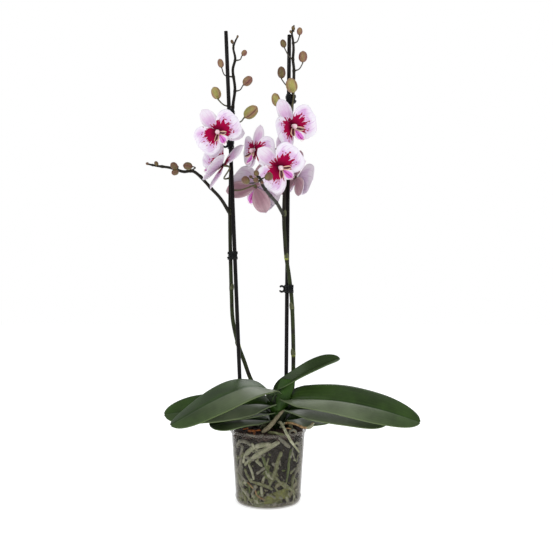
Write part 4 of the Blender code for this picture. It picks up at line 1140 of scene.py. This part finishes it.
def bud_material(name, green, olive, blush, amount):
    """Bud skin: olive-green, blushed along its seams and over its tip."""
    skin = bare(name, 0.45, IOR=1.45)
    tree = skin[1]
    strip, along, across = growth_map(tree)
    veins = growth_lines(tree, strip, 1.6, 34.0)
    place = node(tree, "TexCoord", out="Object")
    cloud = node(tree, "TexNoise", inputs={"Vector": place, "Scale": 130.0, "Detail": 3.0})
    patch = node(tree, "MapRange", inputs={0: cloud, 1: 0.35, 2: 0.65})
    flush = node(tree, "MapRange", SMOOTH, {0: along, 1: 0.45, 2: 1.0, 4: amount * 0.8})
    nearest = 1.0
    for seam in SEAMS:
        gap = node(tree, "Math", {"operation": "SUBTRACT"}, {0: across, 1: seam})
        gap = node(tree, "Math", {"operation": "ABSOLUTE"}, {0: gap})
        blush_here = node(tree, "MapRange", SMOOTH, {0: gap, 1: 0.13, 2: 0.01, 4: amount})
        flush = node(tree, "Math", {"operation": "MAXIMUM"}, {0: flush, 1: blush_here})
        nearest = node(tree, "Math", {"operation": "MINIMUM"}, {0: nearest, 1: gap})
    uneven = node(tree, "MapRange", inputs={0: cloud, 1: 0.3, 2: 0.6, 3: 0.5, 4: 1.3})
    flush = node(tree, "Math", {**TIMES, "use_clamp": True}, {0: flush, 1: uneven})
    crease = node(tree, "MapRange", SMOOTH, {0: nearest, 1: 0.035, 2: 0.0, 4: 0.75})
    return dress(skin, linear(green), ((patch, olive), (flush, blush), (crease, "#4E3322")), veins, 0.12)


bud_skin = bud_material("orchid bud, olive", "#A7A055", "#8B8546", "#AC7C66", 0.7)
bud_rosy_skin = bud_material("orchid bud, rosy", "#94784F", "#7A5F42", "#8C5850", 0.9)
bud_small_skin = bud_material("orchid bud, young and brownish", "#6C5E32", "#574829", "#6E4636", 0.8)
stalk_skin = mottled("flower stalk skin", ("#4B4927", "#5D5931", "#332C19"), 5, 0.8, 0.08, 0.45)
stalk_dark = mottled("young flower stalk skin", ("#2C2719", "#3A331F", "#1E1911"), 5, 0.8, 0.08, 0.45)

# %% Buds on the spikes
# Every bud, in mm: its spike, the height at which its stalk leaves, a point that the stalk passes,
# its middle, the way its tip points, its length, its width, and its skin: 0 olive, 1 brownish, 2 rosy.
STEM_BUDS = {
    "left_bud_1": ("left_spike", 603, (-46, 26, 602), (-28, 4, 612), (0.75, -0.1, 0.62), 27, 18.5, 0),
    "left_bud_2": ("left_spike", 630, (-73, 34, 632), (-84, 8, 644), (-0.35, -0.05, 0.93), 21, 15.5, 0),
    "left_bud_3": ("left_spike", 656, (-47, 34, 657), (-34, 22, 668), (0.72, -0.15, 0.66), 19, 14, 2),
    "left_bud_4": ("left_spike", 679, (-72, 36, 682), (-78, 22, 697), (-0.25, -0.05, 0.96), 15, 10, 2),
    "left_bud_5": ("left_spike", 706, (-47, 33, 707), (-40, 30, 717), (0.6, -0.1, 0.79), 11, 9, 2),
    "right_bud_1": ("right_spike", 600, (24, 13, 606), (12, 4, 632), (-0.2, -0.05, 0.97), 22, 14, 0),
    "right_bud_2": ("right_spike", 621, (38.5, 14, 624), (37, -2, 653), (-0.28, -0.2, 0.93), 24, 18.5, 0),
    "right_bud_3": ("right_spike", 655, (31, 18, 657), (21, 16, 680), (-0.05, 0, 1), 20, 13.2, 1),
    "right_bud_4": ("right_spike", 687, (50, 26, 689), (56, 22, 708), (0.05, 0, 1), 19, 14.2, 2),
    "right_bud_5": ("right_spike", 706, (33, 22, 709), (24, 18, 728), (-0.28, 0, 0.95), 14, 9.8, 1),
    "right_bud_6": ("right_spike", 733, (47, 30, 736), (51, 30, 753), (0.05, 0, 1), 13, 9.4, 2),
}
# On a side branch, the share of its length stands in place of the height. The last ones are
# tiny, and have no part of their own in the frame.
BRANCH_BUDS = {
    "left_branch_bud_1": ("left_spike", 0.48, (-114, -16, 518.5), (-124.5, -24, 520), (-0.95, -0.2, 0.1), 15, 12, 1),
    "left_branch_bud_2": ("left_spike", 0.64, (-140, -22, 520), (-145, -30, 519), (-0.6, -0.4, 0.6), 13, 10.8, 1),
    "right_branch_bud_1": ("right_spike", 0.83, (-19, -94, 482), (-31, -104, 484), (-0.45, -0.8, 0.35), 14, 11.5, 1),
    "right_branch_bud_2": ("right_spike", 0.85, (-4, -97, 489), (2, -106, 489), (0.45, -0.8, 0.35), 14, 11.5, 1),
}
TINY_BUDS = {
    "left_spike": (
        (727, "stem", (-60, 31, 736), (-0.35, 0, 0.9), 7, 5.2), (742, "stem", (-51, 32, 745), (0.3, 0, 1), 5, 3.6),
        (0.86, "branch", (-174, -21, 524.5), (-0.4, -0.3, 0.9), 8, 6.4),
        (0.99, "branch", (-188, -20, 524.5), (-1, 0, 0.2), 5.5, 4.4),
        (0.68, "branch", (-144, -26, 510), (-0.6, -0.3, -0.3), 12, 9.6),
        (0.4, "branch", (-100, -4, 507.5), (0.3, -0.3, 0.9), 5, 4),
    ),
    "right_spike": (
        (763, "stem", (40.5, 30, 758), (-0.2, 0, 1), 8, 6), (748, "stem", (36.5, 30, 752), (-0.5, 0, 0.9), 6, 4.4),
        (0.9, "branch", (-15.6, -108, 493.5), (-0.2, -0.4, 0.9), 9, 7.6),
        (0.96, "branch", (-16.3, -109, 483.5), (-0.2, -0.8, -0.4), 9, 7.4),
        (0.8, "branch", (-24, -98, 490), (-0.7, -0.5, 0.5), 6, 4.6),
        (0.86, "branch", (-7.5, -103, 481), (0.2, -0.8, -0.5), 6, 4.8),
    ),
}


def leaving(spike, part, place):
    """Where a stalk leaves a spike: at a height in mm on the stem, or at a share of the branch."""
    path = spike_path(spike, part)
    return curve_point(path, nearest_share(path, place) if part == "stem" else place)


def bud(bm, start, way, middle, tip, length, width, young):
    """A bud with its stalk. Its three seams are grooves that fade towards the foot."""
    middle, length, width = Vector(middle) * MM, length * MM, width * MM
    way = start.lerp(middle, 0.4) if way is None else Vector(way) * MM
    axis = Vector(tip).normalized()
    base = middle - axis * length / 2
    profile = (0.26, 0.66, 0.88, 0.98, 1.0, 0.96, 0.86, 0.66, 0.34)

    def egg(t, angle):
        turn = angle / (2 * math.pi)
        groove = sum(math.exp(-((((turn - seam + 0.5) % 1 - 0.5) / 0.022) ** 2)) for seam in SEAMS)
        lobe = 0.03 * math.cos(3 * (angle - 2 * math.pi * SEAMS[0]) + math.pi)
        return curve_point(profile, t) * width / 2 * (1 + lobe - 0.11 * groove * min(1, 3 * t))

    rolled(bm, (base, base + axis * length * 0.5, base + axis * length), egg, 26, 36)
    points = [start, way, base - axis * 1.5 * MM, base + axis * 1.2 * MM]
    thick = 0.8 if young else 1.0
    rolled(bm, points, lambda t, a: curve_point((2.0, 1.3, 1.2, 1.3, 1.9), t) * thick * MM, 26, 12, finish=1)


BUD_SKINS = [bud_skin, stalk_skin], [bud_small_skin, stalk_dark], [bud_rosy_skin, stalk_dark]
for name, (spike, place, *shape, skin) in {**STEM_BUDS, **BRANCH_BUDS}.items():
    bm = bmesh.new()
    bud(bm, leaving(spike, "stem" if name in STEM_BUDS else "branch", place), *shape, skin)
    piece(name.replace("bud", "closed_bud"), bm, BUD_SKINS[skin], [name])
for spike, buds in TINY_BUDS.items():
    bm = bmesh.new()
    for place, part, *shape in buds:
        bud(bm, leaving(spike, part, place), None, *shape, 1)
    piece(spike.replace("spike", "tiny_buds"), bm, BUD_SKINS[1])
print("buds:", len(STEM_BUDS) + len(BRANCH_BUDS) + sum(map(len, TINY_BUDS.values())))

# %% [markdown]
# ## Petal finishes
#
# These flowers are lilac-pink with white margins and a ragged crimson splash round the centre,
# broken into fingers and loose dots. The splash is measured in real millimetres from the flower's
# centre, so each petal keeps a second UV map, "flat", which holds its own flat shape before it was
# bent. The splash is the area nearer than a noisy limit, and the noise changes with the direction
# from the centre, which draws it out into fingers.

# %% Petal skins
FLAT_SPAN = 50 * MM  # one unit of the "flat" map


def splash(tree, place, thread, reach_mm, ragged_mm):
    """The crimson splash, reach_mm long, as two layers: its pale halo, and its fingers and dots."""
    level = node(tree, "UVMap", {"uv_map": "flat"})
    far = node(tree, "VectorMath", {"operation": "LENGTH"}, {0: level}, "Value")
    far = node(tree, "Math", TIMES, {0: far, 1: FLAT_SPAN / MM})
    x, y = node(tree, "SeparateXYZ", inputs={0: level}, out=None).outputs[:2]
    angle = node(tree, "Math", {"operation": "ARCTAN2"}, {0: y, 1: x})
    # The noise changes fast with the direction and slowly with the distance: that makes fingers.
    fan = [node(tree, "Math", TIMES, {0: way, 1: stretch}) for way, stretch in ((angle, 5.5), (far, 0.045))]
    fan = node(tree, "CombineXYZ", inputs=dict(enumerate(fan)))
    drift = node(tree, "VectorMath", {"operation": "SCALE"}, {0: place, "Scale": 9.0})
    fan = node(tree, "VectorMath", {"operation": "ADD"}, {0: fan, 1: drift})
    fingers = node(tree, "TexNoise", inputs={"Vector": fan, "Scale": 1.8, "Detail": 2.0, "Roughness": 0.5})
    ends = {0: fingers, 1: 0.3, 2: 0.7, 3: reach_mm - ragged_mm, 4: reach_mm + ragged_mm}
    limit = node(tree, "MapRange", {"clamp": False}, ends)
    # It reaches furthest along the middle of the petal.
    swing = node(tree, "Math", {"operation": "ABSOLUTE"}, {0: angle})
    swing = node(tree, "Math", {"operation": "POWER"}, {0: swing, 1: 2.0})
    swing = node(tree, "Math", TIMES, {0: swing, 1: reach_mm * 0.22})
    limit = node(tree, "Math", {"operation": "SUBTRACT"}, {0: limit, 1: swing})
    beyond = node(tree, "Math", {"operation": "SUBTRACT"}, {0: far, 1: limit})
    halo = node(tree, "MapRange", SMOOTH, {0: beyond, 1: 4.0, 2: 0.0, 4: 0.55})
    # Loose dots nearly three millimetres wide, only near the splash.
    cells = node(tree, "TexVoronoi", inputs={"Vector": level, "Scale": FLAT_SPAN / MM / 4.6}, out=None).outputs
    dot = node(tree, "MapRange", SMOOTH, {0: cells["Distance"], 1: 0.33, 2: 0.27})
    some = node(tree, "SeparateXYZ", inputs={0: cells["Color"]})
    some = node(tree, "MapRange", inputs={0: some, 1: 0.34, 2: 0.38})
    close = node(tree, "MapRange", inputs={0: beyond, 1: 4.8, 2: 4.2})
    for factor in (some, close):
        dot = node(tree, "Math", TIMES, {0: dot, 1: factor})
    spread = node(tree, "MapRange", SMOOTH, {0: beyond, 1: 0.3, 2: -0.3})
    spread = node(tree, "Math", {"operation": "MAXIMUM"}, {0: spread, 1: dot})
    deep = node(tree, "MapRange", inputs={0: far, 1: 3.0, 2: 14.0})
    faint = node(tree, "Math", TIMES, {0: thread, 1: 0.35})
    wine = linear("#56001F")
    for share, over in (deep, "#A0003D"), (faint, "#74052E"):
        wine = node(tree, "Mix", RGBA, {0: share, 6: wine, 7: linear(over)}, 2)
    return [(halo, "#F3E4F2"), (spread, wine)]


def petal_material(name, body, margin, vein, reach_mm, ragged_mm, back=False):
    """Petal skin: veins, a pale margin and, unless reach is 0, a crimson splash."""
    skin = bare(
        name, 0.55, IOR=1.42, Subsurface_Weight=0.06, Subsurface_Scale=0.0012, Subsurface_Radius=(1.0, 0.6, 0.8),
        Specular_IOR_Level=0.07,
    )
    tree = skin[1]
    strip, along, across = growth_map(tree)
    off = from_middle(tree, across)[1]
    place = node(tree, "TexCoord", out="Object")
    edge = node(tree, "Math", {"operation": "MAXIMUM"}, {0: off, 1: along})
    cloud = node(tree, "TexNoise", inputs={"Vector": place, "Scale": 90.0, "Detail": 2.0})
    wobble = node(tree, "Math", {"operation": "MULTIPLY_ADD"}, {0: cloud, 1: 0.5, 2: -0.25})
    edge = node(tree, "Math", {"operation": "ADD"}, {0: edge, 1: wobble})
    rim = node(tree, "MapRange", SMOOTH, {0: edge, 1: 0.42, 2: 0.9})
    # About 26 veins fan out across a petal of 45 mm; a real one has more, too fine to see.
    veins = growth_lines(tree, strip, 1.3, 30.0, distortion=0.3)
    thread = node(tree, "MapRange", SMOOTH, {0: veins, 1: 0.5, 2: 0.72, 4: 0.68})
    layers = [(rim, margin), (thread, vein)]
    if reach_mm:
        layers += splash(tree, place, thread, reach_mm, ragged_mm)
    if back:
        layers.append((node(tree, "MapRange", SMOOTH, {0: off, 1: 0.35, 2: 0.0, 4: 0.5}), "#A08088"))
    return dress(skin, linear(body), layers, veins, 0.14)


petal_front = petal_material("orchid petal, face", "#D49FD3", "#ECE7EF", "#C384C8", 21.5, 5.0)
petal_back = petal_material("orchid petal, back", "#CDB6CE", "#DED6DE", "#B796B4", 0, 0)
sepal_front = petal_material("orchid sepal, face", "#D9B4D6", "#E9E0E9", "#C592BE", 13.5, 4.5)
sepal_back = petal_material("orchid sepal, back", "#AE8591", "#C8A9B0", "#8E6272", 0, 0, back=True)

# %% [markdown]
# ## Lip and column
#
# The middle of the flower is the column, a short cream-pink club that hides the pollen, and below
# it the lip. The lip's two side lobes stand up like small dark wings with cream edges. Its middle
# lobe points forward: magenta with a white edge and a dark stripe, and two thin curled whiskers at
# its tip.

# %% Lip skins
def lip_material(name, middle, edge, stripe, edge_from, stripe_width):
    """Lip skin drawn across a lobe: a stripe along the middle and another colour at the edge."""
    skin = bare(name, 0.42, IOR=1.42, Subsurface_Weight=0.1, Subsurface_Scale=0.002)
    tree = skin[1]
    off = from_middle(tree, growth_map(tree)[2])[1]
    place = node(tree, "TexCoord", out="Object")
    grain = node(tree, "TexNoise", inputs={"Vector": place, "Scale": 420.0, "Detail": 2.0})
    drift = node(tree, "Math", {"operation": "MULTIPLY_ADD"}, {0: grain, 1: 0.3, 2: -0.15})
    off = node(tree, "Math", {"operation": "ADD"}, {0: off, 1: drift})
    rim = node(tree, "MapRange", SMOOTH, {0: off, 1: edge_from, 2: min(edge_from + 0.3, 1.1)})
    line = node(tree, "MapRange", SMOOTH, {0: off, 1: stripe_width, 2: 0.02})
    return dress(skin, linear(middle), ((rim, edge), (line, stripe)), grain, 0.1)


lip_middle = lip_material("lip, middle lobe", "#DC78D2", "#F0E4F0", "#A31A78", 0.48, 0.2)
lip_side = lip_material("lip, side lobe", "#5A0A1E", "#E3BFA8", "#3A0612", 0.42, 0.4)
column_skin = mottled("orchid column, cream and pink", ("#F2DDDD", "#E9C4CE", "#D79AAE"), 4, 0.9, 0.08, 0.4)
throat_skin = mottled("orchid throat, spotted", ("#E8CBB8", "#8A1230", "#6C0D28"), 2.2, 1.0, 0.1, 0.45)

# %% [markdown]
# ## Flowers
#
# Every flower has three sepals behind, two broad petals in front, and the lip and column in the
# middle. Each blade is a bent grid in the flower's own frame, which faces +Z with its top along
# +Y: it narrows to a claw at the foot, its edge is gently waved, and it leans as far as the frame
# model says. The frame's own place and turn then carries it to the spike.

# %% Flower shapes
# Every flower, in mm and degrees: its middle, the way it faces, how far its top is turned
# anticlockwise, its size, how far its top sepal, side sepals and petals lean forwards, its spike,
# and its stalk's start height and a point on the way.
FLOWERS = {
    "flower_1": ((-77, -34, 570.5), (0.02, -0.96, -0.22), 36, 0.97, (-3, -3, 5), "left_spike", 588, (-74, 34, 586)),
    "flower_2": ((-71, 0, 526), (-0.82, -0.42, 0.3), -48, 1.1, (-10, 14, 31), "left_spike", 512, (-72.5, 28, 510)),
    "flower_3": (
        (-19, -4, 548), (-0.72, -0.68, -0.12), -10, 0.97, (-10, -10, -12), "right_spike", 552, (17, 12, 555),
    ),
    "flower_4": ((-22, 48, 499), (0.1, 0.97, -0.12), 29, 1.16, (-3, -3, 6), "left_spike", 492, (-45, 34, 492)),
    "flower_5": ((35.5, -22, 582), (0.52, -0.83, -0.2), 32, 1.06, (-3, -3, 24), "right_spike", 580, (30, 8, 584)),
    "flower_6": ((17.5, -60, 511), (0.22, -0.93, -0.28), 52, 1, (-3, -3, 5), "right_spike", 500, (23, 0, 502)),
    "flower_7": ((44.5, 31, 512), (0.8, 0.52, -0.16), 10, 1.04, (-3, -3, 8), "right_spike", 520, (39, 15, 520)),
}
SEPAL_OUTLINE = (0.14, 0.4, 0.66, 0.84, 0.95, 1.0, 1.0, 0.94, 0.82, 0.6, 0.2)
PETAL_OUTLINE = (0.14, 0.44, 0.7, 0.86, 0.95, 0.99, 1.0, 0.97, 0.89, 0.72, 0.26)
SEPALS = ((90, 41.0, 12.5), (218, 41.0, 12.5), (-38, 41.0, 12.5))
PETALS = ((182, 37.0, 24.5), (-2, 37.0, 24.5))
SEPAL_LAYER, PETAL_LAYER, BLADE_START, BLADE_WALL = 0.0, 3.0, 1.3, 0.7 * MM
# The lip and the column, in mm in the flower's frame.
MIDDLE_LOBE = ((0, 0, 4.6), (0, -4, 7), (0, -9, 9.5), (0, -14.5, 12), (0, -19, 16), (0, -21, 20))
SIDE_LOBE = ((0.8, -1.5, 6), (4.2, -4.6, 9), (7.6, -7.6, 12), (10.4, -9.2, 15.5))
COLUMN = ((0, 0.8, 3.4), (0, 1, 7), (0, 0.2, 11), (0, -1.6, 14.2))
CREST = ((0, -2.6, 7.4), (0, -4.4, 9.2), (0, -6, 9.8))
WHISKER = ((0.4, -19, 20), (1.6, -21.5, 20.5), (3.6, -21, 19), (4.6, -18.5, 18.6))


def flower_matrix(middle, facing, roll):
    """The flower's frame: +Z along its face, +Y up and then turned anticlockwise by roll degrees."""
    ahead = Vector(facing).normalized()
    right = Vector((0, 0, 1)).cross(ahead).normalized()
    turn = Matrix((right, ahead.cross(right), ahead)).transposed().to_4x4()
    return Matrix.Translation(Vector(middle) * MM) @ turn @ turned(math.radians(roll), "Z")


def blade(bm, matrix, angle, length, half, outline, lean, layer, seed, along=30, across=20):
    """One sepal or petal, in mm in the flower's frame before the matrix carries it to its place."""
    rise, run = math.sin(math.radians(lean)), math.cos(math.radians(lean))
    turn = matrix @ turned(math.radians(angle), "Z")

    def spot(t, s):
        side = 2 * s - 1
        tip = math.sqrt(max(0.0, 1 - max(0.0, (t - 0.9) / 0.1) ** 2))
        width = half * (curve_point(outline, t) * (tip if t > 0.9 else 1.0)) * side
        return BLADE_START + length * t, width, side

    def place(t, s):
        reach, width, side = spot(t, s)
        height = layer + length * rise * t - 0.035 * half * side * side * t
        height += 0.9 * math.sin(7 * t + seed + 2.2 * side) * side * side * t
        height += 0.5 * math.sin(3 * side + seed) * t * t
        height -= 0.55 * math.exp(-((side / 0.05) ** 2)) * (1 - t)
        height += 1.2 * side * side * max(0.0, 1 - 2.2 * t) * t * 4
        height -= 1.6 * max(0.0, t - 0.6) ** 2 * 4
        return turn @ Vector(((BLADE_START + (reach - BLADE_START) * run) * MM, width * MM, height * MM))

    def flat(t, s):
        reach, width, _ = spot(t, s)
        return reach * MM / FLAT_SPAN, width * MM / FLAT_SPAN

    bent_grid(bm, along, across, place, row=lambda u: math.sin(u * math.pi / 2), flat=flat)


def lobe(bm, matrix, spine, widths, across, finish, cup=0.0, along=18, count=12):
    """A lobe of the lip: a sheet along a spine in mm, cupped towards the front."""
    points, across = vectors(spine), Vector(across).normalized()

    def place(t, s):
        side = 2 * s - 1
        ahead = curve_point(points, t + 0.02) - curve_point(points, t - 0.02)
        normal = ahead.cross(across).normalized()
        width = curve_point(widths, t)
        return matrix @ ((curve_point(points, t) + across * width * side + normal * cup * width * side * side) * MM)

    bent_grid(bm, along, count, place, finish=finish)


print("flowers to make:", len(FLOWERS))

# %% Flowers
for number, (name, (middle, facing, roll, size, leans, spike, height, way)) in enumerate(FLOWERS.items()):
    matrix = flower_matrix(middle, facing, roll) @ Matrix.Scale(size, 4)
    bm = bmesh.new()
    for index, sepal in enumerate(SEPALS):
        seed = number * 1.9 + index * 2.1
        blade(bm, matrix, *sepal, SEPAL_OUTLINE, leans[min(index, 1)], SEPAL_LAYER, seed, across=14)
    piece(f"sepals_of_{name}", bm, [sepal_front, sepal_back], [f"{name}_sepals"], wall=BLADE_WALL, back=1)

    bm = bmesh.new()
    # Flower 2 leans further than in the frame, where its lip and petals would overlap.
    lean = leans[2] * (1.4 if name == "flower_2" else 1)
    for index, petal in enumerate(PETALS):
        blade(bm, matrix, *petal, PETAL_OUTLINE, lean, PETAL_LAYER, number * 2.7 + index * 3.3)
    piece(f"petals_of_{name}", bm, [petal_front, petal_back], [f"{name}_petals"], wall=BLADE_WALL, back=1)

    bm = bmesh.new()
    lobe(bm, matrix, MIDDLE_LOBE, (1.6, 2.4, 4.8, 7.8, 6.4, 1.2), (1, 0, 0), 0, cup=0.35)
    for side in (-1, 1):
        spine = [(side * x, y, h) for x, y, h in SIDE_LOBE]
        lobe(bm, matrix, spine, (1.6, 3.0, 3.5, 1.8), (0.77, side * 0.55, 0.3), 1, cup=0.4 * side)
    piece(f"lip_of_{name}", bm, [lip_middle, lip_side], wall=0.8 * MM)

    bm = bmesh.new()
    column = [matrix @ p for p in vectors(COLUMN, MM)]
    rolled(bm, column, lambda t, a: curve_point((3.4, 2.7, 3.2, 3.7, 3.0), t) * size * MM, 18, 20)
    for side in (-1, 1):
        whisker = [matrix @ (Vector((side * x, y, h)) * MM) for x, y, h in WHISKER]
        rolled(bm, whisker, lambda t, a: (0.45 - 0.25 * t) * MM, 14, 8)
    crest = [matrix @ p for p in vectors(CREST, MM)]
    rolled(bm, crest, lambda t, a: curve_point((1.6, 2.1, 1.2), t) * size * MM, 8, 14, finish=1)
    piece(f"column_of_{name}", bm, [column_skin, throat_skin], [f"{name}_lip"])

    joint = matrix @ Vector((0, 0, -10 * MM)), matrix @ Vector((0, 0, 0.6 * MM))
    route = (leaving(spike, "stem", height), Vector(way) * MM, *joint)
    bm = bmesh.new()
    rolled(bm, route, lambda t, a: curve_point((1.9, 1.25, 1.25, 1.5, 2.6), t) * MM, 44, 14)
    piece(f"stalk_of_{name}", bm, [stalk_skin])
print("flowers made:", len(FLOWERS))
